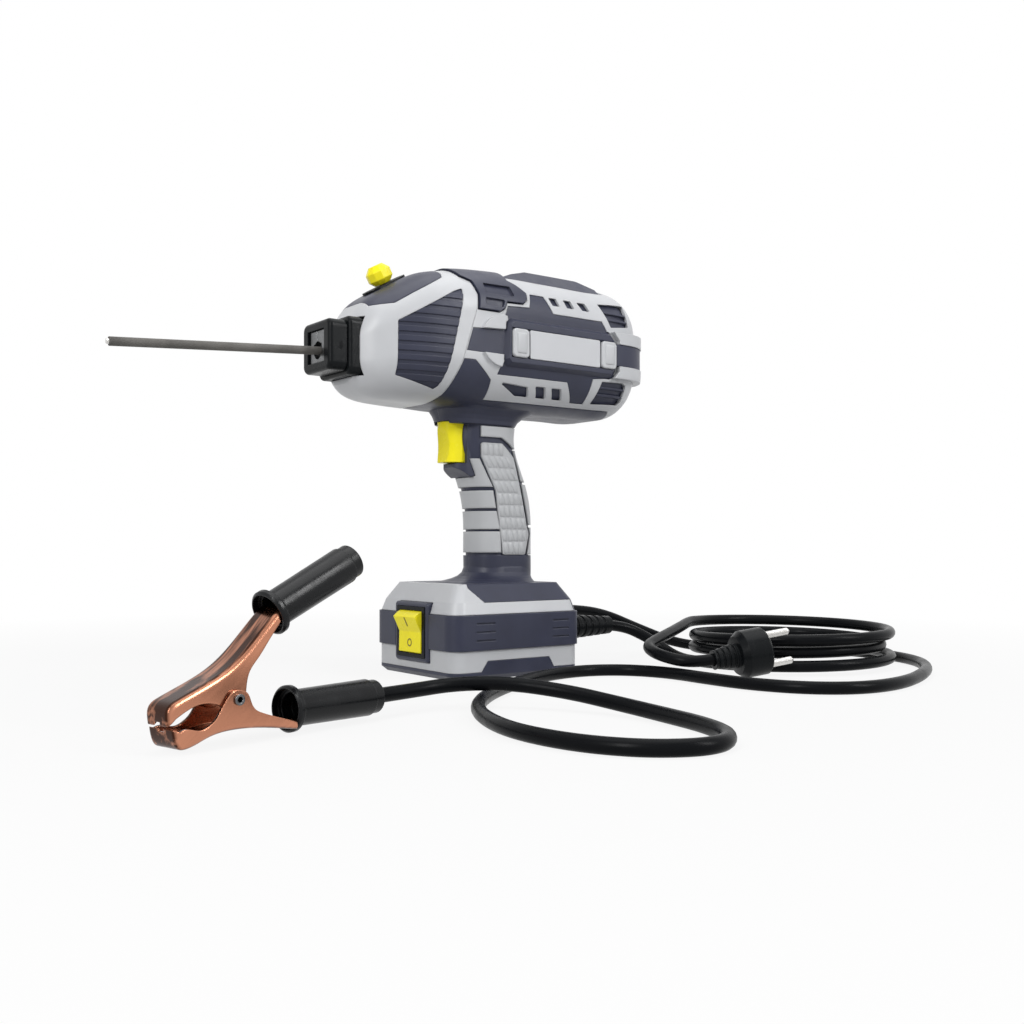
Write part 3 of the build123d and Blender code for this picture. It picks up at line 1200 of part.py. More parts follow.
# Each lever is a folded channel: plates on both sides of a smooth fold, out to an edge line
LOWER_FOLD = [(2.2, 10.8), (3.0, 6.5), (5.4, 2.4), (10.0, 2.2), (19.6, 5.3), (35.0, 7.0), (56.9, 4.7), (67.6, 2.9)]
LOWER_EDGE = [
    (66.8, 6.3),
    (56.9, 9.7),
    (46.9, 13.1),
    (43.6, 14.8),
    (41.4, 17.7),
    (39.3, 22.3),
    (35.0, 24.4),
    (30.8, 23.6),
    (27.7, 20.0),
    (25.7, 17.3),
    (23.6, 14.1),
    (19.6, 10.8),
    (14.6, 9.3),
    (9.7, 10.4),
    (4.9, 9.8),
]
UPPER_FOLD = [
    (0.6, 12.2),
    (0.2, 15.6),
    (0.5, 18.8),
    (2.2, 21.2),
    (5.2, 22.8),
    (10.0, 24.7),
    (20.0, 28.6),
    (30.0, 33.4),
    (38.0, 39.0),
    (48.0, 48.3),
    (59.5, 59.0),
]
UPPER_EDGE = [
    (61.2, 55.6),
    (51.3, 43.8),
    (45.8, 37.0),
    (41.4, 31.7),
    (39.8, 26.6),
    (39.3, 22.3),
    (38.0, 17.6),
    (35.0, 15.4),
    (31.0, 15.6),
    (27.0, 17.4),
    (25.1, 18.6),
    (20.6, 19.9),
    (14.6, 19.8),
    (9.7, 18.2),
    (3.9, 15.2),
]
FOLD_STEPS = 40


def channel(fold, edge, half, far, radius):
    """A folded sheet lever, open towards the height far."""
    line = Spline(*fold)
    outline = [line, Line(fold[-1], edge[0]), Spline(*edge), Line(edge[-1], fold[0])]
    body = extrude(Plane.XZ * make_face(outline), half, both=True)
    middle = Plane.XZ.from_local_coords(line @ 0.5)
    folds = []
    for fold_edge in body.edges().filter_by(GeomType.BSPLINE):
        spot = fold_edge @ 0.5
        if math.hypot(spot.X - middle.X, spot.Z - middle.Z) < 0.3:
            folds.append(fold_edge)
    body = fillet(folds, radius)
    side = 1 if far > 0 else -1
    inner = []
    for i in range(FOLD_STEPS + 1):
        spot = line @ (i / FOLD_STEPS)
        along = line % (i / FOLD_STEPS)
        inner.append((spot.X - side * along.Y * LEVER_T, spot.Y + side * along.X * LEVER_T))
    rim = Polyline(inner[-1], (90, inner[-1][1]), (90, far), (inner[0][0] + 30, far), inner[0])
    return body - extrude(Plane.XZ * make_face([Spline(*inner), rim]), half - LEVER_T, both=True)


UPPER_HALF = LOWER_W / 2 - LEVER_T - LEVER_SIDE_GAP
lower_axis = Plane((LOWER_SLEEVE_S, 0, LOWER_SLEEVE_Z), x_dir=(0, 1, 0), z_dir=(1, 0, 0))
tilt = math.radians(UPPER_SLEEVE_TILT)
upper_dir = (math.cos(tilt), 0, math.sin(tilt))
upper_axis = Plane((UPPER_SLEEVE_S, 0, UPPER_SLEEVE_Z), x_dir=(0, 1, 0), z_dir=upper_dir)
TONGUE_W = 6.4
TONGUE_T = 2.4
TONGUE_L = 22.0
LOWER_TONGUE_DROP = 5.6  # under the sleeve's axis, in line with the lever's fold
UPPER_TONGUE_DROP = 0.6


def tongue(axis, back, drop, grow=0.0):
    slip = Rectangle(TONGUE_W + 2 * grow, TONGUE_T + 2 * grow)
    return extrude(axis.offset(-back) * Pos(0, -drop) * slip, TONGUE_L + back + grow)


lower = channel(LOWER_FOLD, LOWER_EDGE, LOWER_W / 2, 80.0, LEVER_ROUND) + tongue(lower_axis, 12, LOWER_TONGUE_DROP)
upper = channel(UPPER_FOLD, UPPER_EDGE, UPPER_HALF, -40.0, LEVER_ROUND) + tongue(upper_axis, 1, UPPER_TONGUE_DROP)
rivet_hole = rod_y(RIVET_R + RUN_GAP, -40, 40, RIVET_S, RIVET_Z)
bite = block((-5, 6), (-BITE_W / 2, BITE_W / 2), BITE_Z)
lower = one(lower - rivet_hole - bite)
upper = one(upper - rivet_hole - bite)
rivet_half = LOWER_W / 2 + 0.05
rivet = rod_y(RIVET_R, -rivet_half, rivet_half, RIVET_S, RIVET_Z)
rivet = rivet + rod_y(RIVET_HEAD_R, rivet_half, rivet_half + RIVET_HEAD_T, RIVET_S, RIVET_Z)
rivet = rivet + rod_y(RIVET_HEAD_R, -rivet_half - RIVET_HEAD_T, -rivet_half, RIVET_S, RIVET_Z)
rivet = rivet - rod_y(RIVET_BORE_R, -40, 40, RIVET_S, RIVET_Z)
TORSION_R = 3.5
TORSION_WIRE_R = 0.6
TORSION_TURNS = 5
torsion_pitch = 2 * TORSION_WIRE_R + 0.3
torsion_path = Helix(torsion_pitch, torsion_pitch * TORSION_TURNS, TORSION_R)
torsion = sweep(Plane(torsion_path @ 0, z_dir=torsion_path % 0) * Circle(TORSION_WIRE_R), path=torsion_path)
torsion_place = Plane((RIVET_S, -torsion_pitch * TORSION_TURNS / 2, RIVET_Z), x_dir=(1, 0, 0), z_dir=(0, 1, 0))
torsion = torsion_place.location * torsion


def sleeve(axis, bore_length, drop):
    profile = [
        (0, SLEEVE_MOUTH_L),
        (SLEEVE_MOUTH_R, SLEEVE_MOUTH_L),
        (SLEEVE_MOUTH_R, SLEEVE_LIP_L),
        (SLEEVE_LIP_R, SLEEVE_LIP_L - 0.2),
        (SLEEVE_LIP_R, 0),
        (SLEEVE_FLANGE_R - 1, 0),
        (SLEEVE_FLANGE_R, 1),
        (SLEEVE_FLANGE_R, SLEEVE_FLANGE_L - 1),
        (SLEEVE_R, SLEEVE_FLANGE_L + 1),
        (SLEEVE_END_R, SLEEVE_L - SLEEVE_TIP_L),
        (SLEEVE_END_R - 0.8, SLEEVE_L - SLEEVE_TIP_L + 0.6),
        (SLEEVE_END_R - 0.8, SLEEVE_L),
    ]
    if bore_length:
        profile += [(cord_bore + 0.3, SLEEVE_L), (cord_bore + 0.3, SLEEVE_L - bore_length)]
        profile += [(0, SLEEVE_L - bore_length)]
    else:
        profile += [(0, SLEEVE_L)]
    return turned(profile, axis) - tongue(axis, 5, drop, FIT_GAP)


clamp_lower_lever = clamp_place * lower
clamp_upper_lever = clamp_place * upper
clamp_rivet = clamp_place * rivet
clamp_spring = clamp_place * torsion
clamp_lower_sleeve = clamp_place * one(sleeve(lower_axis, 20.0, LOWER_TONGUE_DROP))
clamp_upper_sleeve = clamp_place * one(sleeve(upper_axis, 0, UPPER_TONGUE_DROP))

NODES = {
    "left_housing": left_housing,
    "right_housing": right_housing,
    "nose_cover": nose_cover,
    "left_rear_armour": left_rear_armour,
    "right_rear_armour": right_rear_armour,
    "nose_top_panel": nose_top_panel,
    "nose_side_panels": nose_side_panels,
    "shoulder_saddle": shoulder_saddle,
    "top_spine": top_spine,
    "label_pods": label_pods,
    "label_plates": label_plates,
    "label_end_caps": label_end_caps,
    "rear_belt": rear_belt,
    "finger_pads": finger_pads,
    "left_grip_panel": left_grip_panel,
    "right_grip_panel": right_grip_panel,
    "palm_pads": palm_pads,
    "grip_collar": grip_collar,
    "nose_flange": nose_flange,
    "holder_block": holder_block,
    "left_jaw": left_jaw,
    "right_jaw": right_jaw,
    "slot_bezel": slot_bezel,
    "release_slider": release_slider,
    "release_knob": release_knob,
    "electrode_core": electrode_core,
    "electrode_coating": electrode_coating,
    "trigger": trigger,
    "trigger_spring": trigger_spring,
    "trigger_switch": trigger_switch,
    "base_housing": base_housing,
    "base_upper_guard": base_upper_guard,
    "base_lower_guard": base_lower_guard,
    "base_plate": base_plate,
    "rubber_feet": rubber_feet,
    "switch_frame": switch_frame,
    "switch_body": switch_body,
    "rocker": rocker,
    "main_board": main_board,
    "heatsink": heatsink,
    "transformer_core": transformer_core,
    "transformer_winding": transformer_winding,
    "filter_capacitors": filter_capacitors,
    "fan_frame": fan_frame,
    "fan_rotor": fan_rotor,
    "output_bar": output_bar,
    "mains_strain_relief": mains_strain_relief,
    "mains_cord": mains_cord,
    "mains_coil": mains_coil,
    "plug_body": plug_body,
    "plug_pins": plug_pins,
    "earth_gland": earth_gland,
    "earth_cable": earth_cable,
    "clamp_lower_lever": clamp_lower_lever,
    "clamp_upper_lever": clamp_upper_lever,
    "clamp_rivet": clamp_rivet,
    "clamp_spring": clamp_spring,
    "clamp_lower_sleeve": clamp_lower_sleeve,
    "clamp_upper_sleeve": clamp_upper_sleeve,
    "case_screws": case_screws,
}
for node, shape in NODES.items():
    save(shape, node)
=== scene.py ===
# %% [markdown]
# # A handheld arc welder
# The tool is a pistol-shaped inverter welder: a barrel of pale armour over a navy housing, a grip on a
# square switch base, an electrode held in the nose, a coiled mains lead and an earth lead with a copper
# clamp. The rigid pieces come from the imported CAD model, so this lesson loads that frame first and then
# adds cords, finishes and the fine pieces that a solid model leaves out.

# %% Load the frame
import json
import math

import bmesh
import bpy
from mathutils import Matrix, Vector
from mathutils.bvhtree import BVHTree


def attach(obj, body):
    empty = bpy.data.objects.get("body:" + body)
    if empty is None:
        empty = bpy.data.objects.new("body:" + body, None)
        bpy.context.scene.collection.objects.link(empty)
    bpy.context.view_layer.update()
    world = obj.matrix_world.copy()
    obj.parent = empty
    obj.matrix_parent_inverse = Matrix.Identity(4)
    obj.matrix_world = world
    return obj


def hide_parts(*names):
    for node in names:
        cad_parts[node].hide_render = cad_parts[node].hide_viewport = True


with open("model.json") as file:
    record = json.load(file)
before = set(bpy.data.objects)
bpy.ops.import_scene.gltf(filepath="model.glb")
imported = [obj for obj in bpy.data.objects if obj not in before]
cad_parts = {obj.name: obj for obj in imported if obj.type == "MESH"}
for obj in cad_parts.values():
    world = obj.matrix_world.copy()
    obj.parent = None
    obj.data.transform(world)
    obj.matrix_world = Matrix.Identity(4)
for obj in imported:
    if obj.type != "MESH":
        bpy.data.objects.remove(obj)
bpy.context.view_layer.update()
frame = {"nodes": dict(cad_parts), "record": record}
nodes = frame["nodes"]
scene = bpy.context.scene
MM = 0.001

# %% [markdown]
# ## Camera
# The photograph looks level at the tool's front left, from about the height of the switch base, and the
# frame is moved up so that the horizon sits a little below the middle. A lens shift gives that framing
# without tilting the camera, so upright edges stay upright.

# %% Camera at the photograph's angle
PHOTO_PX = 1024
FOCAL_PX = 1100
HORIZON_BELOW_MIDDLE_PX = 33
EYE = Vector((-442.3, -626.87, 87.18)) * MM
LOOK = Vector((0.602, 0.799, 0.0))

camera_data = bpy.data.cameras.new("photo_camera")
camera_data.sensor_width = 36
camera_data.lens = 36 * FOCAL_PX / PHOTO_PX
camera_data.shift_y = HORIZON_BELOW_MIDDLE_PX / PHOTO_PX
camera_data.clip_end = 50
camera = bpy.data.objects.new("photo_camera", camera_data)
camera.location = EYE
camera.rotation_euler = LOOK.to_track_quat("-Z", "Y").to_euler()
scene.collection.objects.link(camera)
scene.camera = camera
print("camera lens", round(camera_data.lens, 2), "mm")

# %% [markdown]
# ## Node groups for the finishes
# Most of the tool is moulded plastic, and every moulding shares the same small effects: a fine spark
# grain from the mould, a faint unevenness of colour, and paler edges, which are partly rubbed wear and
# partly a painted highlight. Each effect is one shader node group, so a finish only places the group and
# sets its own values.

# %% Helpers for node trees
def node_group(name, inputs, outputs):
    """An empty group with its sockets; returns the tree and its two end nodes."""
    tree = bpy.data.node_groups.new(name, "ShaderNodeTree")
    for label, kind, value in inputs:
        socket = tree.interface.new_socket(label, in_out="INPUT", socket_type=kind)
        socket.default_value = value
    for label, kind in outputs:
        tree.interface.new_socket(label, in_out="OUTPUT", socket_type=kind)
    return tree, tree.nodes.new("NodeGroupInput"), tree.nodes.new("NodeGroupOutput")


def add(tree, kind, **settings):
    """A new node with its properties set."""
    node = tree.nodes.new(kind)
    for key, value in settings.items():
        setattr(node, key, value)
    return node


def math_node(tree, operation, first, second=None, clamp=False):
    node = add(tree, "ShaderNodeMath", operation=operation, use_clamp=clamp)
    for socket, value in zip(node.inputs, (first, second)):
        if value is None:
            continue
        if isinstance(value, (int, float)):
            socket.default_value = value
        else:
            tree.links.new(value, socket)
    return node.outputs[0]


def span(tree, value, low, high, to_low, to_high):
    """Map a value from one range to another, clamped."""
    node = add(tree, "ShaderNodeMapRange", clamp=True)
    tree.links.new(value, node.inputs[0])
    for index, number in enumerate((low, high, to_low, to_high), start=1):
        node.inputs[index].default_value = number
    return node.outputs[0]


def noise(tree, place, scale, detail=2.0, roughness=0.5):
    node = add(tree, "ShaderNodeTexNoise")
    tree.links.new(place, node.inputs["Vector"])
    if isinstance(scale, (int, float)):
        node.inputs["Scale"].default_value = scale
    else:
        tree.links.new(scale, node.inputs["Scale"])
    node.inputs["Detail"].default_value = detail
    node.inputs["Roughness"].default_value = roughness
    return node.outputs["Fac"]


# %% Mould grain: fine bumps and a slow unevenness
grain_group, grain_in, grain_out = node_group(
    "mould_grain",
    [("Scale", "NodeSocketFloat", 2200.0)],
    [("Height", "NodeSocketFloat"), ("Mottle", "NodeSocketFloat")],
)
place = add(grain_group, "ShaderNodeTexCoord").outputs["Object"]
fine = noise(grain_group, place, grain_in.outputs["Scale"], 2.0, 0.6)
slow = noise(grain_group, place, 38.0, 3.0, 0.55)
grain_group.links.new(fine, grain_out.inputs["Height"])
grain_group.links.new(slow, grain_out.inputs["Mottle"])

# %% Paler edges, partly rubbed wear and partly a painted highlight: where a rounded-off normal leaves the true one
edge_group, edge_in, edge_out = node_group(
    "edge_wear_and_highlight",
    [("Patchiness", "NodeSocketFloat", 260.0), ("Radius", "NodeSocketFloat", 0.0009)],
    [("Mask", "NodeSocketFloat"), ("Normal", "NodeSocketVector")],
)
soft_normal = add(edge_group, "ShaderNodeBevel", samples=6)
edge_group.links.new(edge_in.outputs["Radius"], soft_normal.inputs["Radius"])
edge_group.links.new(soft_normal.outputs[0], edge_out.inputs["Normal"])
true_normal = add(edge_group, "ShaderNodeNewGeometry").outputs["Normal"]
agree = add(edge_group, "ShaderNodeVectorMath", operation="DOT_PRODUCT")
edge_group.links.new(soft_normal.outputs[0], agree.inputs[0])
edge_group.links.new(true_normal, agree.inputs[1])
corner = span(edge_group, agree.outputs["Value"], 0.99, 0.75, 0.0, 1.0)
place = add(edge_group, "ShaderNodeTexCoord").outputs["Object"]
patches = noise(edge_group, place, edge_in.outputs["Patchiness"], 3.0, 0.6)
patches = span(edge_group, patches, 0.35, 0.65, 0.35, 1.0)
edge_group.links.new(math_node(edge_group, "MULTIPLY", corner, patches), edge_out.inputs["Mask"])

# %% Handling marks: smudges that change only the gloss
smudge_group, smudge_in, smudge_out = node_group(
    "handling_marks",
    [("Scale", "NodeSocketFloat", 70.0)],
    [("Mask", "NodeSocketFloat")],
)
place = add(smudge_group, "ShaderNodeTexCoord").outputs["Object"]
cloud = noise(smudge_group, place, smudge_in.outputs["Scale"], 5.0, 0.62)
smudge_group.links.new(span(smudge_group, cloud, 0.42, 0.66, 0.0, 1.0), smudge_out.inputs["Mask"])

# %% Drawn streaks: the lines that rolling and brushing leave in sheet metal
streak_group, streak_in, streak_out = node_group(
    "drawn_streaks",
    [("Turn", "NodeSocketVector", (0.0, 0.0, 0.0)), ("Stretch", "NodeSocketVector", (30.0, 900.0, 900.0))],
    [("Streak", "NodeSocketFloat"), ("Patina", "NodeSocketFloat")],
)
place = add(streak_group, "ShaderNodeTexCoord").outputs["Object"]
turned = add(streak_group, "ShaderNodeVectorRotate", rotation_type="EULER_XYZ")
streak_group.links.new(place, turned.inputs["Vector"])
streak_group.links.new(streak_in.outputs["Turn"], turned.inputs["Rotation"])
stretched = add(streak_group, "ShaderNodeVectorMath", operation="MULTIPLY")
streak_group.links.new(turned.outputs[0], stretched.inputs[0])
streak_group.links.new(streak_in.outputs["Stretch"], stretched.inputs[1])
streak_group.links.new(noise(streak_group, stretched.outputs[0], 1.0, 4.0, 0.65), streak_out.inputs["Streak"])
streak_group.links.new(noise(streak_group, place, 55.0, 5.0, 0.6), streak_out.inputs["Patina"])
print("node groups:", [group.name for group in bpy.data.node_groups])

# %% [markdown]
# ## Finishes
# A moulded finish has one base colour that drifts a little with the mottle, gets paler at its edges, as
# rubbed wear and as a painted highlight, and is broken up in gloss by handling marks. The grain goes into a
# Bump node. Everything that is the same all over, such as the specular level, stays on the shader's own
# socket.

# %% A moulded plastic
def mix_colour(tree, factor, first, second):
    node = add(tree, "ShaderNodeMix", data_type="RGBA")
    tree.links.new(factor, node.inputs[0])
    for socket, value in zip((node.inputs[6], node.inputs[7]), (first, second)):
        if isinstance(value, tuple):
            socket.default_value = value + (1.0,)
        else:
            tree.links.new(value, socket)
    return node.outputs[2]


def place_group(tree, group, **values):
    node = add(tree, "ShaderNodeGroup", node_tree=group)
    for label, value in values.items():
        node.inputs[label].default_value = value
    return node


def bumped(tree, shader, height, strength, distance, normal):
    bump = add(tree, "ShaderNodeBump")
    bump.inputs["Strength"].default_value = strength
    bump.inputs["Distance"].default_value = distance
    tree.links.new(height, bump.inputs["Height"])
    tree.links.new(normal, bump.inputs["Normal"])
    tree.links.new(bump.outputs[0], shader.inputs["Normal"])


def blank_material(name):
    material = bpy.data.materials.new(name)
    material.use_nodes = True
    tree = material.node_tree
    return material, tree, tree.nodes["Principled BSDF"]


WEAR_AND_HIGHLIGHT_SHARE = 0.55  # how far an edge goes to its paler colour, partly rubbed wear and partly a painted highlight
GRAIN_HEIGHT = 0.0004


def moulded(
    name,
    colour,
    wear_and_highlight_colour,
    gloss,
    grain=2200.0,
    grain_depth=0.12,
    drift=0.10,
    specular=0.5,
    round_mm=0.9,
):
    """A moulded plastic; gloss is the roughness where it is clean and where it is handled."""
    material, tree, shader = blank_material(name)
    grains = place_group(tree, grain_group, Scale=grain)
    edges = place_group(tree, edge_group, Radius=round_mm * MM)
    marks = place_group(tree, smudge_group)
    darker = tuple(channel * (1 - drift) for channel in colour)
    lighter = tuple(min(1.0, channel * (1 + drift)) for channel in colour)
    mottle = span(tree, grains.outputs["Mottle"], 0.3, 0.7, 0.0, 1.0)
    body = mix_colour(tree, mottle, darker, lighter)
    # paler edges: partly rubbed wear, partly a painted highlight along the edges
    brighter_edges = math_node(tree, "MULTIPLY", edges.outputs["Mask"], WEAR_AND_HIGHLIGHT_SHARE)
    tree.links.new(mix_colour(tree, brighter_edges, body, wear_and_highlight_colour), shader.inputs["Base Color"])
    rough = span(tree, marks.outputs["Mask"], 0.0, 1.0, *gloss)
    tree.links.new(rough, shader.inputs["Roughness"])
    shader.inputs["Specular IOR Level"].default_value = specular
    bumped(tree, shader, grains.outputs["Height"], grain_depth, GRAIN_HEIGHT, edges.outputs["Normal"])
    return material


navy = moulded(
    "navy_moulding",
    (0.028, 0.031, 0.055),
    (0.08, 0.085, 0.125),
    (0.36, 0.46),
    grain_depth=0.10,
    specular=0.32,
)
grey = moulded(
    "pale_armour",
    (0.51, 0.52, 0.54),
    (0.68, 0.685, 0.695),
    (0.34, 0.42),
    drift=0.03,
    grain_depth=0.05,
    specular=0.4,
)
silver = moulded(
    "plate_silver",
    (0.54, 0.55, 0.575),
    (0.66, 0.67, 0.68),
    (0.28, 0.34),
    drift=0.02,
    grain_depth=0.02,
    specular=0.5,
)
pads = moulded(
    "grip_pads",
    (0.47, 0.48, 0.495),
    (0.60, 0.605, 0.615),
    (0.38, 0.46),
    drift=0.03,
    grain_depth=0.06,
    specular=0.35,
    round_mm=1.8,
)
yellow = moulded(
    "yellow_controls",
    (1.0, 0.87, 0.02),
    (1.0, 0.92, 0.12),
    (0.24, 0.34),
    drift=0.02,
    grain_depth=0.03,
    specular=0.15,
)
black = moulded(
    "black_fittings",
    (0.006, 0.007, 0.008),
    (0.02, 0.022, 0.025),
    (0.24, 0.36),
    grain_depth=0.10,
    specular=0.09,
)
rubber = moulded(
    "lead_rubber",
    (0.0045, 0.005, 0.006),
    (0.009, 0.0095, 0.01),
    (0.26, 0.36),
    grain=900.0,
    grain_depth=0.04,
    specular=0.055,
)
sleeves = moulded(
    "clamp_sleeves",
    (0.006, 0.0065, 0.0075),
    (0.02, 0.021, 0.023),
    (0.22, 0.34),
    grain=900.0,
    grain_depth=0.05,
    specular=0.2,
)
print("plastics:", navy.name, grey.name, yellow.name, black.name, rubber.name)


# %% Metals and the electrode's flux
SCRATCH_HEIGHT = 0.0003
BRIGHT_EDGE = 0.5  # how far an edge is rubbed back to bright metal


def even_tarnish(tree, lines):
    """Tarnish all over, in clouds and along the streaks."""
    patina = span(tree, lines.outputs["Patina"], 0.35, 0.68, 0.0, 1.0)
    streaks = span(tree, lines.outputs["Streak"], 0.35, 0.65, 0.0, 0.5)
    return math_node(tree, "ADD", math_node(tree, "MULTIPLY", patina, 0.6), streaks, True)


def fold_painted_shade(tree, lines, unshaded_side):
    """Painted shade: dark streaks on every face that does not look along the given side, such as the clamp's
    folded web and front.
    """
    facing = add(tree, "ShaderNodeVectorMath", operation="DOT_PRODUCT")
    facing.inputs[1].default_value = unshaded_side
    tree.links.new(add(tree, "ShaderNodeNewGeometry").outputs["Normal"], facing.inputs[0])
    sideways = math_node(tree, "ABSOLUTE", facing.outputs["Value"])
    fold = span(tree, sideways, 0.45, 0.9, 1.0, 0.15)
    shade_lines = span(tree, lines.outputs["Streak"], 0.33, 0.50, 0.2, 1.0)
    return math_node(tree, "MULTIPLY", shade_lines, fold)


def sheet_metal(
    name,
    bright,
    dull,
    gloss,
    turn=(0.0, 0.0, 0.0),
    stretch=(30.0, 900.0, 900.0),
    scratch=0.1,
    unshaded_side=None,
):
    """A streaked metal, tarnished all over, or with painted shade in dark streaks off its flat sides."""
    material, tree, shader = blank_material(name)
    lines = place_group(tree, streak_group, Turn=turn, Stretch=stretch)
    edges = place_group(tree, edge_group)
    tarnish_and_painted_shade = fold_painted_shade(tree, lines, unshaded_side) if unshaded_side else even_tarnish(tree, lines)
    tarnished_and_shaded = mix_colour(tree, tarnish_and_painted_shade, bright, dull)
    brighter_edges = math_node(tree, "MULTIPLY", edges.outputs["Mask"], BRIGHT_EDGE)
    tree.links.new(mix_colour(tree, brighter_edges, tarnished_and_shaded, bright), shader.inputs["Base Color"])
    rough = span(tree, lines.outputs["Streak"], 0.3, 0.7, *gloss)
    tree.links.new(rough, shader.inputs["Roughness"])
    shader.inputs["Metallic"].default_value = 1.0
    bumped(tree, shader, lines.outputs["Streak"], scratch, SCRATCH_HEIGHT, edges.outputs["Normal"])
    return material


CLAMP_SIDE = (-0.242, 0.970, 0.0)  # the way that the clamp's flat sides look
# the copper's dark dull colour is painted shade, laid in streaks on the web and front as dark reflections;
# the flat sides stay bright
copper = sheet_metal(
    "copper_plating",
    (0.58, 0.255, 0.155),
    (0.045, 0.018, 0.011),
    (0.16, 0.28),
    turn=(0.0, 0.70, -0.244),
    stretch=(10.0, 190.0, 190.0),
    scratch=0.04,
    unshaded_side=CLAMP_SIDE,
)
steel = sheet_metal("bright_steel", (0.72, 0.71, 0.69), (0.50, 0.49, 0.47), (0.18, 0.34))
dark_steel = sheet_metal("jaw_steel", (0.20, 0.205, 0.21), (0.09, 0.092, 0.095), (0.24, 0.38))
winding = sheet_metal("winding_copper", (0.80, 0.40, 0.22), (0.55, 0.22, 0.10), (0.28, 0.42))
aluminium = sheet_metal("heatsink_aluminium", (0.78, 0.78, 0.78), (0.6, 0.6, 0.6), (0.3, 0.45))
ferrite = moulded(
    "ferrite",
    (0.035, 0.035, 0.037),
    (0.08, 0.08, 0.08),
    (0.6, 0.75),
    grain=1400.0,
    grain_depth=0.3,
)
board = moulded("board_green", (0.012, 0.10, 0.04), (0.05, 0.2, 0.1), (0.25, 0.35))
flux = moulded(
    "flux_coating",
    (0.105, 0.10, 0.093),
    (0.18, 0.17, 0.16),
    (0.72, 0.9),
    grain=1100.0,
    grain_depth=0.55,
    drift=0.3,
)
print("metals:", copper.name, steel.name, winding.name, aluminium.name)

# %% [markdown]
# ## Dressing the CAD nodes
# A CAD node whose shape is right only needs its finish, which the record names by slot. The finishes round
# the sharp edges themselves, with the Bevel node in the edge group, so that the light catches them as it
# does on a moulding. A few nodes have a finish of their own, such as the soft grip pads.

# %% Give every node its finish
FINISHES = {
    "navy_plastic": navy,
    "grey_plastic": grey,
    "yellow_plastic": yellow,
    "black_plastic": black,
    "black_rubber": rubber,
    "copper_plated_steel": copper,
    "bright_steel": steel,
    "flux_coating": flux,
    "board_green": board,
    "heatsink_aluminium": aluminium,
    "ferrite": ferrite,
    "winding_copper": winding,
}
OWN_FINISHES = {
    "left_jaw": dark_steel,
    "right_jaw": dark_steel,
    "clamp_rivet": dark_steel,
    "case_screws": dark_steel,
    "clamp_lower_sleeve": sleeves,
    "clamp_upper_sleeve": sleeves,
    "label_plates": silver,
    "finger_pads": pads,
    "palm_pads": pads,
    "left_grip_panel": pads,
    "right_grip_panel": pads,
    "grip_collar": pads,
}
slot_of = {part["node"]: part["material_slot"] for part in frame["record"]["subparts"]}
for name, node in nodes.items():
    node.data.materials.clear()
    node.data.materials.append(OWN_FINISHES.get(name, FINISHES[slot_of[name]]))
print("dressed", len(nodes), "nodes")

# %% [markdown]
# ## Leads
# Both leads are round rubber cable. A lead is one smooth NURBS line with a round bevel: its control
# points are the route that the CAD tube follows, and an order of three lets the line cut inside each
# corner as a heavy cable does. The coil's turns come from a formula and are more points of the same line.

# %% One lead from its route
LEAD_D = 7.8


def lead(name, route, body):
    curve = bpy.data.curves.new(name, "CURVE")
    curve.dimensions = "3D"
    curve.bevel_depth = LEAD_D / 2 * MM
    curve.bevel_resolution = 6
    curve.use_fill_caps = True
    curve.resolution_u = 10
    spline = curve.splines.new("NURBS")
    spline.points.add(len(route) - 1)
    for point, spot in zip(spline.points, route):
        point.co = (*(Vector(spot) * MM), 1.0)
    spline.order_u = 3
    spline.use_endpoint_u = True
    piece = bpy.data.objects.new(name, curve)
    scene.collection.objects.link(piece)
    curve.materials.append(rubber)
    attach(piece, body)
    return piece


# %% Mains lead: out of the strain relief, three loose turns, then across to the plug
COIL_MIDDLE = Vector((203.0, -105.0, 0.0))
COIL_R = 69.0
COIL_SWAY = 4.0
COIL_START = 167.0
COIL_END = 1198.0
COIL_SWEEP = COIL_END - COIL_START
COIL_RISE = 8.5
COIL_LOW = LEAD_D / 2 + 0.9
COIL_STEPS = 20  # control points a turn


def coil_spot(degrees):
    turn = (degrees - COIL_START) / 360
    radius = COIL_R + COIL_SWAY * math.cos(2 * math.pi * turn * 360 / COIL_SWEEP)
    radius /= math.cos(math.pi / COIL_STEPS)
    angle = math.radians(degrees)
    height = COIL_LOW + COIL_RISE * turn
    return COIL_MIDDLE + Vector((radius * math.cos(angle), radius * math.sin(angle), height))


coil_count = round(COIL_SWEEP / 360 * COIL_STEPS)
coil = [coil_spot(COIL_START + i * COIL_SWEEP / coil_count) for i in range(coil_count + 1)]
plug_face = Vector((120.6, -152.9, 18.54))
PLUG_NECK_BACK = 27.0  # from the plug's face to where its neck takes the lead
PLUG_AIM = math.radians(-24.0)
PLUG_TILT = math.radians(9.0)
plug_level = Vector((math.cos(PLUG_AIM), math.sin(PLUG_AIM), 0.0))
plug_dir = plug_level * math.cos(PLUG_TILT) + Vector((0.0, 0.0, math.sin(PLUG_TILT)))
mains_route = [(89.5, -22.0, 28.5), (113.5, -22.0, 28.5), (133.0, -35.5, 17.0), (139.3, -56.5, 4.4)]
mains_route += coil
mains_route += [(148.4, -51.3, 26.9), (94.4, -80.0, 21.5), (74.35, -90.6, 18.6), (66.8, -112.0, 14.8)]
mains_route += [(75.8, -132.9, 11.0), plug_face - plug_dir * PLUG_NECK_BACK]
mains_lead = lead("mains_lead", mains_route, "welder")
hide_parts("mains_cord", "mains_coil")
print("mains lead points:", len(mains_route))

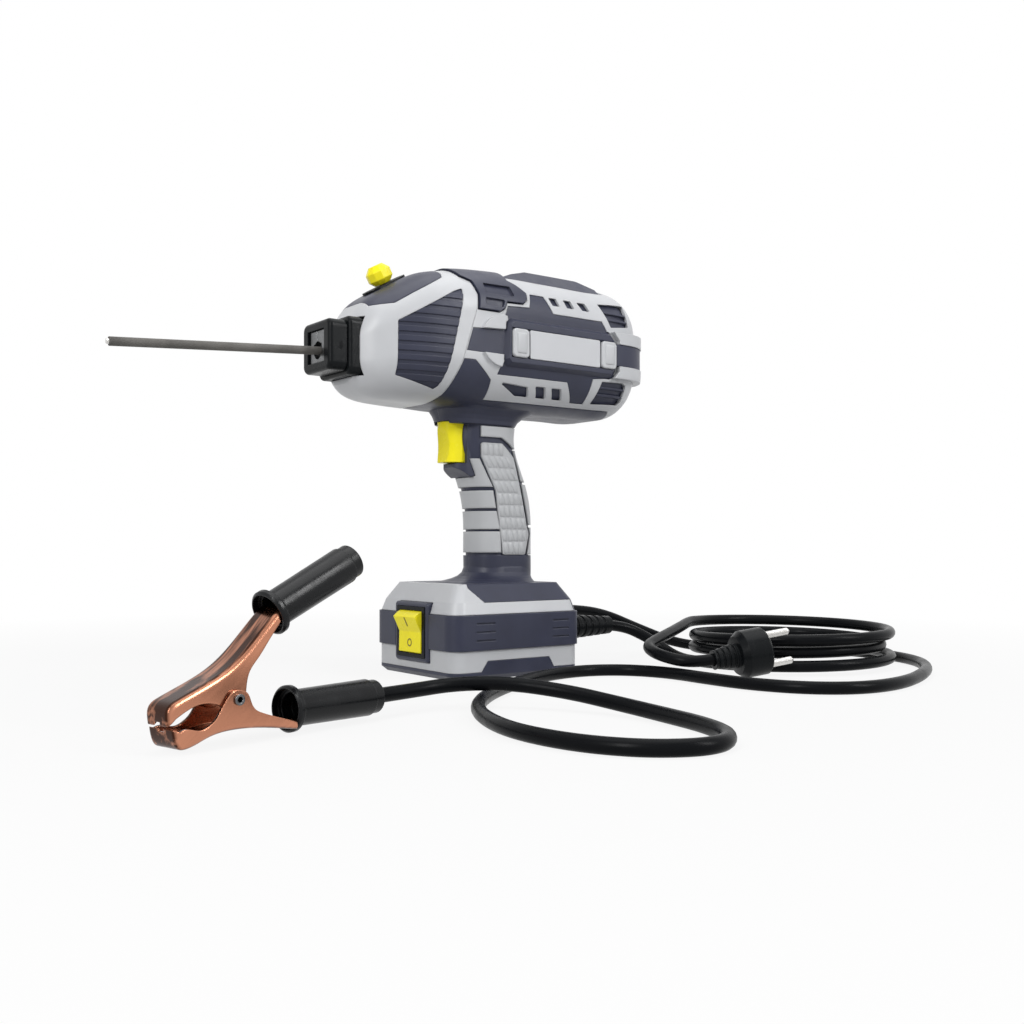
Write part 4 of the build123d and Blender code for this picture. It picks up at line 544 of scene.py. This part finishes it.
# %% Earth lead: behind the coil, round it, and in a long loop to the clamp
LOW = LEAD_D / 2 + 0.1
CLAMP_ORIGIN = Vector((-285.8, -173.7, 0.0))
CLAMP_TURN = math.radians(14.0)
clamp_dir = Vector((math.cos(CLAMP_TURN), math.sin(CLAMP_TURN), 0.0))
SLEEVE_END_S = 124.0  # along the clamp, from its jaw
SLEEVE_Z = 11.2
SLEEVE_RUN = 26.0  # straight lead ahead of the sleeve
sleeve_end = CLAMP_ORIGIN + clamp_dir * SLEEVE_END_S + Vector((0.0, 0.0, SLEEVE_Z))
earth_route = [(65.2, 10, 39), (88, 10, 39), (124, 10, 35), (158, 7, 22), (192, 0, 9), (225, -12, LOW)]
earth_route += [(255, -32, LOW), (278, -62, LOW), (289, -98, LOW), (285, -135, LOW), (268, -168, LOW)]
earth_route += [(240, -195, LOW), (203, -217, LOW), (150, -238, LOW), (108, -240, LOW), (80, -221, LOW)]
earth_route += [(67, -186, LOW), (68, -148, LOW), (71, -115, LOW), (59, -85, LOW), (32, -72, LOW)]
earth_route += [(-8, -80, LOW), (-50, -104, LOW), (-88, -133, LOW), (-115, -162, LOW), (-132, -191, LOW)]
earth_route += [(-143, -222, LOW), (-146, -250, LOW), (-141, -280, LOW), (-126, -304, LOW), (-101, -315, LOW)]
earth_route += [(-78, -303, LOW), (-65, -275, LOW), (-58, -240, LOW), (-58, -210, 5.5), (-68, -180, 9.5)]
earth_route += [(-88, -154, 13), (-112, -138.5, 13)]
earth_route += [sleeve_end + clamp_dir * SLEEVE_RUN, sleeve_end - clamp_dir]
earth_lead = lead("earth_lead", earth_route, "welder")
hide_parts("earth_cable")
print("earth lead points:", len(earth_route))

# %% [markdown]
# ## Tiles on the grip panels
# Both sides of the grip carry a panel of small raised tiles, so that a gloved hand doesn't slip. A bump map
# would only shade them, so each tile is a low pillow of real geometry. Its points are dropped onto the
# panel along a ray, which makes the tiles follow the panel's curve, and a tile that reaches past the
# panel's edge is cut short there.

# %% A ray finder for a node's surface
def surface(name):
    """A finder for the points where rays meet a CAD node."""
    return BVHTree.FromObject(nodes[name], bpy.context.evaluated_depsgraph_get())


def piece_from(name, form, material, body, smooth=True):
    """A finished piece from a bmesh, with its finish and body."""
    mesh = bpy.data.meshes.new(name)
    bmesh.ops.recalc_face_normals(form, faces=form.faces[:])
    form.to_mesh(mesh)
    form.free()
    if smooth:
        mesh.shade_smooth()
    mesh.materials.append(material)
    piece = bpy.data.objects.new(name, mesh)
    scene.collection.objects.link(piece)
    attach(piece, body)
    return piece


# %% Tiles in rows that lean with the grip
PANEL_FRONT = [(80.5, 9.0), (124.5, 3.2), (147.5, -8.5), (157.0, -9.0)]  # height, and X of the front edge
TILE_ROWS = 9
TILE_COLUMNS = 6
TILE_W = 4.6
TILE_GAP = 0.7
TILE_RISE = 0.5
EDGE_KEEP = 0.5  # bare panel left at its edges
ROW_H = (PANEL_FRONT[-1][0] - PANEL_FRONT[0][0] - 2 * EDGE_KEEP) / TILE_ROWS
RING = [(0.0, 0.0), (0.5, 0.0), (1.0, 0.0), (1.0, 0.5), (1.0, 1.0), (0.5, 1.0), (0.0, 1.0), (0.0, 0.5)]
PILLOW = [(0.0, -0.2), (0.05, 0.6), (0.16, 1.0)]  # inset as a share of the tile, and share of the rise
FIRST_TILE = 0.9  # from the panel's front edge
LEAST_TILE = 1.2
TRIM = 0.3
RAY_OUT = 80.0  # rays start this far out to the side


def front_edge(z):
    for (z0, x0), (z1, x1) in zip(PANEL_FRONT, PANEL_FRONT[1:]):
        if z <= z1:
            return x0 + (x1 - x0) * (z - z0) / (z1 - z0)
    return PANEL_FRONT[-1][1]


def join_loops(form, loops):
    """Walls between loops of equal length, and a lid on the last."""
    count = len(loops[0])
    for lower, upper in zip(loops, loops[1:]):
        for i in range(count):
            j = (i + 1) % count
            form.faces.new((lower[i], lower[j], upper[j], upper[i]))
    form.faces.new(loops[-1])


def tile_loops(drop, near, far, low, high):
    """The rings of spots of one tile on the panel, or nothing where a spot misses the panel."""
    loops = []
    for inset, rise in PILLOW:
        loop = []
        for u, v in RING:
            z = low + (high - low) * (v + inset * 0.5 * (1 - 2 * v))
            x = front_edge(z) + near + (far - near) * (u + inset * (1 - 2 * u))
            spot, normal = drop(x, z)
            if spot is None:
                return []
            loop.append(spot + normal * (rise * TILE_RISE * MM))
        loops.append(loop)
    return loops


def tiles(side, finder):
    form = bmesh.new()

    def drop(x, z):
        start = Vector((x, side * RAY_OUT, z)) * MM
        return finder.ray_cast(start, Vector((0.0, -side, 0.0)))[:2]

    def misses(along, low, high):
        return any(drop(front_edge(z) + along, z)[0] is None for z in (low, high))

    for row in range(TILE_ROWS):
        low = PANEL_FRONT[0][0] + EDGE_KEEP + row * ROW_H + TILE_GAP / 2
        high = low + ROW_H - TILE_GAP
        for column in range(TILE_COLUMNS):
            near = FIRST_TILE + column * TILE_W
            far = near + TILE_W - TILE_GAP
            while far - near > LEAST_TILE and misses(far + EDGE_KEEP, low, high):
                far -= TRIM
            if far - near <= LEAST_TILE or misses(near, low, high):
                continue
            loops = tile_loops(drop, near, far, low, high)
            if loops:
                join_loops(form, [[form.verts.new(spot) for spot in loop] for loop in loops])
    return form


for side, label in ((-1, "left"), (1, "right")):
    form = tiles(side, surface(label + "_grip_panel"))
    print(label, "grip tiles:", sum(len(face.verts) == len(RING) for face in form.faces))
    piece_from(label + "_grip_tiles", form, pads, "welder")

# %% [markdown]
# ## Small raised fields
# The caps at the ends of the label plates carry a raised inner field, and the nose block has a short slot in
# each side, drawn as a thin dark patch that paints the shade inside the slot. Both are outlines dropped onto
# a side of the tool in the same way as the tiles.

# %% Fields on the end caps, and painted slot shade on the nose block
BARREL_Z = 225.5
CAP_FIELDS = [(-3.2, 4.8), (74.6, 82.8)]  # along X
CAP_FIELD_Z = (-11.6, 2.4)  # from the barrel's axis
FIELD_STEPS = [(1.0, -0.2), (0.97, 0.3), (0.86, 0.5)]  # share of the outline, and rise
SLOT_STEPS = [(1.0, -0.1), (1.0, 0.05)]
CAP_FIELD_ROUND = 1.2
NOSE_SLOT_X = (-117.6, -115.6)
NOSE_SLOT_Z = (208.8, 213.6)
NOSE_SLOT_ROUND = 0.9
CORNER_STEPS = 5


def rounded_box(x_range, z_range, radius):
    """The outline of a rectangle with rounded corners, as spots in the XZ plane."""
    spots = []
    (west, east), (low, high) = x_range, z_range
    for quarter, (x, z) in enumerate([(east, high), (west, high), (west, low), (east, low)]):
        x -= math.copysign(radius, x - (west + east) / 2)
        z -= math.copysign(radius, z - (low + high) / 2)
        for i in range(CORNER_STEPS + 1):
            angle = math.pi / 2 * (quarter + i / CORNER_STEPS)
            spots.append((x + radius * math.cos(angle), z + radius * math.sin(angle)))
    return spots


def raised_field(form, finder, side, outline, steps):
    """A low pillow over an outline, dropped onto one side of the tool."""
    mid_x, mid_z = (sum(line) / len(outline) for line in zip(*outline))
    loops = []
    for share, rise in steps:
        loop = []
        for x, z in outline:
            start = Vector((mid_x + (x - mid_x) * share, side * RAY_OUT, mid_z + (z - mid_z) * share))
            spot = finder.ray_cast(start * MM, Vector((0.0, -side, 0.0)))[0]
            loop.append(form.verts.new(spot + Vector((0.0, side * rise * MM, 0.0))))
        loops.append(loop)
    join_loops(form, loops)


cap_form = bmesh.new()
slot_shade_form = bmesh.new()
cap_surface, holder_surface = surface("label_end_caps"), surface("holder_block")
for side in (-1, 1):
    for x_range in CAP_FIELDS:
        outline = rounded_box(x_range, [BARREL_Z + z for z in CAP_FIELD_Z], CAP_FIELD_ROUND)
        raised_field(cap_form, cap_surface, side, outline, FIELD_STEPS)
    outline = rounded_box(NOSE_SLOT_X, NOSE_SLOT_Z, NOSE_SLOT_ROUND)
    raised_field(slot_shade_form, holder_surface, side, outline, SLOT_STEPS)
piece_from("end_cap_fields", cap_form, grey, "welder")
# the slots are not cut: a thin black patch on each side paints the shade of the hollow
piece_from("nose_block_slot_shade", slot_shade_form, rubber, "welder", smooth=False)
print("end cap fields and nose block slots added")

# %% [markdown]
# ## Marks on the mains switch
# A rocker switch carries a bar for on and a ring for off. They are printed a hair above the rocker, so they
# are thin raised shapes, dropped onto its two faces and riding with it.

# %% Bar and ring on the rocker
SWITCH_Z = 29.5
MARK_RISE = 0.18
MARK_ROOT = -0.1  # the marks' feet, inside the rocker
RAY_FRONT = -120.0  # rays start here, ahead of the switch
OFF_RING = (2.7, 1.9, SWITCH_Z - 7.2)  # outer and inner radius, height of the middle
ON_BAR = (0.6, 3.0, SWITCH_Z + 6.6)  # half width, half length, height of the middle
BAR_CORE = (0.05, 2.4)  # the slit that the bar's band closes on
mark_paint = moulded(
    "switch_marks",
    (0.20, 0.165, 0.03),
    (0.26, 0.22, 0.05),
    (0.4, 0.5),
    drift=0.04,
    grain_depth=0.02,
    specular=0.2,
)
rocker_face = surface("rocker")


def on_rocker(y, z, rise):
    spot = rocker_face.ray_cast(Vector((RAY_FRONT, y, z)) * MM, Vector((1.0, 0.0, 0.0)))[0]
    return spot - Vector((rise * MM, 0.0, 0.0))


def printed_ring(form, outer, inner):
    """A closed band between two outlines of equal length, with its rim."""

    def raised(rise):
        return [[form.verts.new(on_rocker(y, z, rise)) for y, z in line] for line in (outer, inner)]

    tops, feet = raised(MARK_RISE), raised(MARK_ROOT)
    count = len(outer)
    for i in range(count):
        j = (i + 1) % count
        form.faces.new((tops[0][i], tops[0][j], tops[1][j], tops[1][i]))
        form.faces.new((tops[0][i], tops[0][j], feet[0][j], feet[0][i]))
        form.faces.new((tops[1][i], tops[1][j], feet[1][j], feet[1][i]))


def ring_line(radius, middle, count=32):
    spots = []
    for i in range(count):
        angle = 2 * math.pi * i / count
        spots.append((radius * math.cos(angle), middle + radius * math.sin(angle)))
    return spots


def bar_line(half_w, half_h, middle, count=8):
    spots = []
    for i in range(4 * count):
        along, corner = (i % count) / count, i // count
        corners = [(-half_w, -half_h), (half_w, -half_h), (half_w, half_h), (-half_w, half_h)]
        (y0, z0), (y1, z1) = corners[corner], corners[(corner + 1) % 4]
        spots.append((y0 + (y1 - y0) * along, middle + z0 + (z1 - z0) * along))
    return spots


form = bmesh.new()
outer, inner, middle = OFF_RING
printed_ring(form, ring_line(outer, middle), ring_line(inner, middle))
half_w, half_l, middle = ON_BAR
printed_ring(form, bar_line(half_w, half_l, middle), bar_line(*BAR_CORE, middle))
marks = piece_from("rocker_marks", form, mark_paint, "rocker", smooth=False)
print("rocker marks:", len(marks.data.polygons), "faces")

# %% [markdown]
# ## Floor and light
# The photograph is a cut-out on white, so the floor is a wide pale disc that fades into plain white away
# from the tool. The fade depends only on the distance from the tool. Near it a share of the floor is an
# ordinary matt surface, which takes a faint shadow. Three soft lamps light the tool: a broad one overhead,
# and an upright strip on each side of the camera, which gives the black rubber its long highlights.

# %% Floor
FLOOR_R = 30.0
FLOOR_DROP = 0.0002  # just under the feet
FADE_FROM, FADE_TO = 0.25, 0.75  # metres from the tool
WHITE_NEAR = 0.88  # the white share beside the tool
floor_mesh = bpy.data.meshes.new("floor")
floor_form = bmesh.new()
bmesh.ops.create_circle(floor_form, cap_ends=True, segments=96, radius=FLOOR_R)
floor_form.to_mesh(floor_mesh)
floor_form.free()
floor = bpy.data.objects.new("floor", floor_mesh)
floor.location.z = -FLOOR_DROP
scene.collection.objects.link(floor)
floor_paint = bpy.data.materials.new("studio_floor")
floor_paint.use_nodes = True
tree = floor_paint.node_tree
matt = tree.nodes["Principled BSDF"]
matt.inputs["Base Color"].default_value = (0.55, 0.55, 0.55, 1.0)
matt.inputs["Roughness"].default_value = 0.9
matt.inputs["Specular IOR Level"].default_value = 0.1
white = add(tree, "ShaderNodeEmission")
white.inputs["Strength"].default_value = 1.0
floor_place = add(tree, "ShaderNodeTexCoord").outputs["Object"]
away = add(tree, "ShaderNodeVectorMath", operation="LENGTH")
tree.links.new(floor_place, away.inputs[0])
fade = span(tree, away.outputs["Value"], FADE_FROM, FADE_TO, WHITE_NEAR, 1.0)


def background_rays(tree):
    """One for the rays that should find the white background, nothing for those that carry light."""
    rays = add(tree, "ShaderNodeLightPath")
    seen = math_node(tree, "MAXIMUM", rays.outputs["Is Camera Ray"], rays.outputs["Is Glossy Ray"])
    return math_node(tree, "MAXIMUM", seen, rays.outputs["Is Transmission Ray"])


blend = add(tree, "ShaderNodeMixShader")
tree.links.new(math_node(tree, "MULTIPLY", fade, background_rays(tree)), blend.inputs[0])
tree.links.new(matt.outputs[0], blend.inputs[1])
tree.links.new(white.outputs[0], blend.inputs[2])
tree.links.new(blend.outputs[0], tree.nodes["Material Output"].inputs["Surface"])
floor.data.materials.append(floor_paint)

# %% World and lamps
world = bpy.data.worlds.new("studio")
scene.world = world
world.use_nodes = True
tree = world.node_tree
ambient = tree.nodes["Background"]
ambient.inputs["Color"].default_value = (1.0, 1.0, 1.0, 1.0)
ambient.inputs["Strength"].default_value = 0.24
seen = add(tree, "ShaderNodeBackground")
seen.inputs["Color"].default_value = (1.0, 1.0, 1.0, 1.0)
seen.inputs["Strength"].default_value = 1.0
choice = add(tree, "ShaderNodeMixShader")
tree.links.new(background_rays(tree), choice.inputs[0])
tree.links.new(ambient.outputs[0], choice.inputs[1])
tree.links.new(seen.outputs[0], choice.inputs[2])
tree.links.new(choice.outputs[0], tree.nodes["World Output"].inputs["Surface"])


def lamp(name, spot, aim, size, power):
    data = bpy.data.lights.new(name, "AREA")
    data.shape = "RECTANGLE"
    data.size, data.size_y = size
    data.energy = power
    piece = bpy.data.objects.new(name, data)
    piece.location = spot
    piece.rotation_euler = (Vector(aim) - Vector(spot)).to_track_quat("-Z", "Y").to_euler()
    scene.collection.objects.link(piece)


STRIP = (0.28, 0.9)
STRIP_W = 15  # watts
TOOL_MIDDLE = (0.0, 0.0, 0.15)
lamp("overhead", (0.0, -0.15, 1.9), (0.0, 0.0, 0.1), (2.0, 1.6), 20)
lamp("front_right", (0.75, -1.45, 1.05), TOOL_MIDDLE, STRIP, STRIP_W)
lamp("front_left", (-1.45, -0.75, 0.9), TOOL_MIDDLE, STRIP, STRIP_W)
scene.view_settings.view_transform = "Standard"
print("lamps:", [light.name for light in bpy.data.lights])
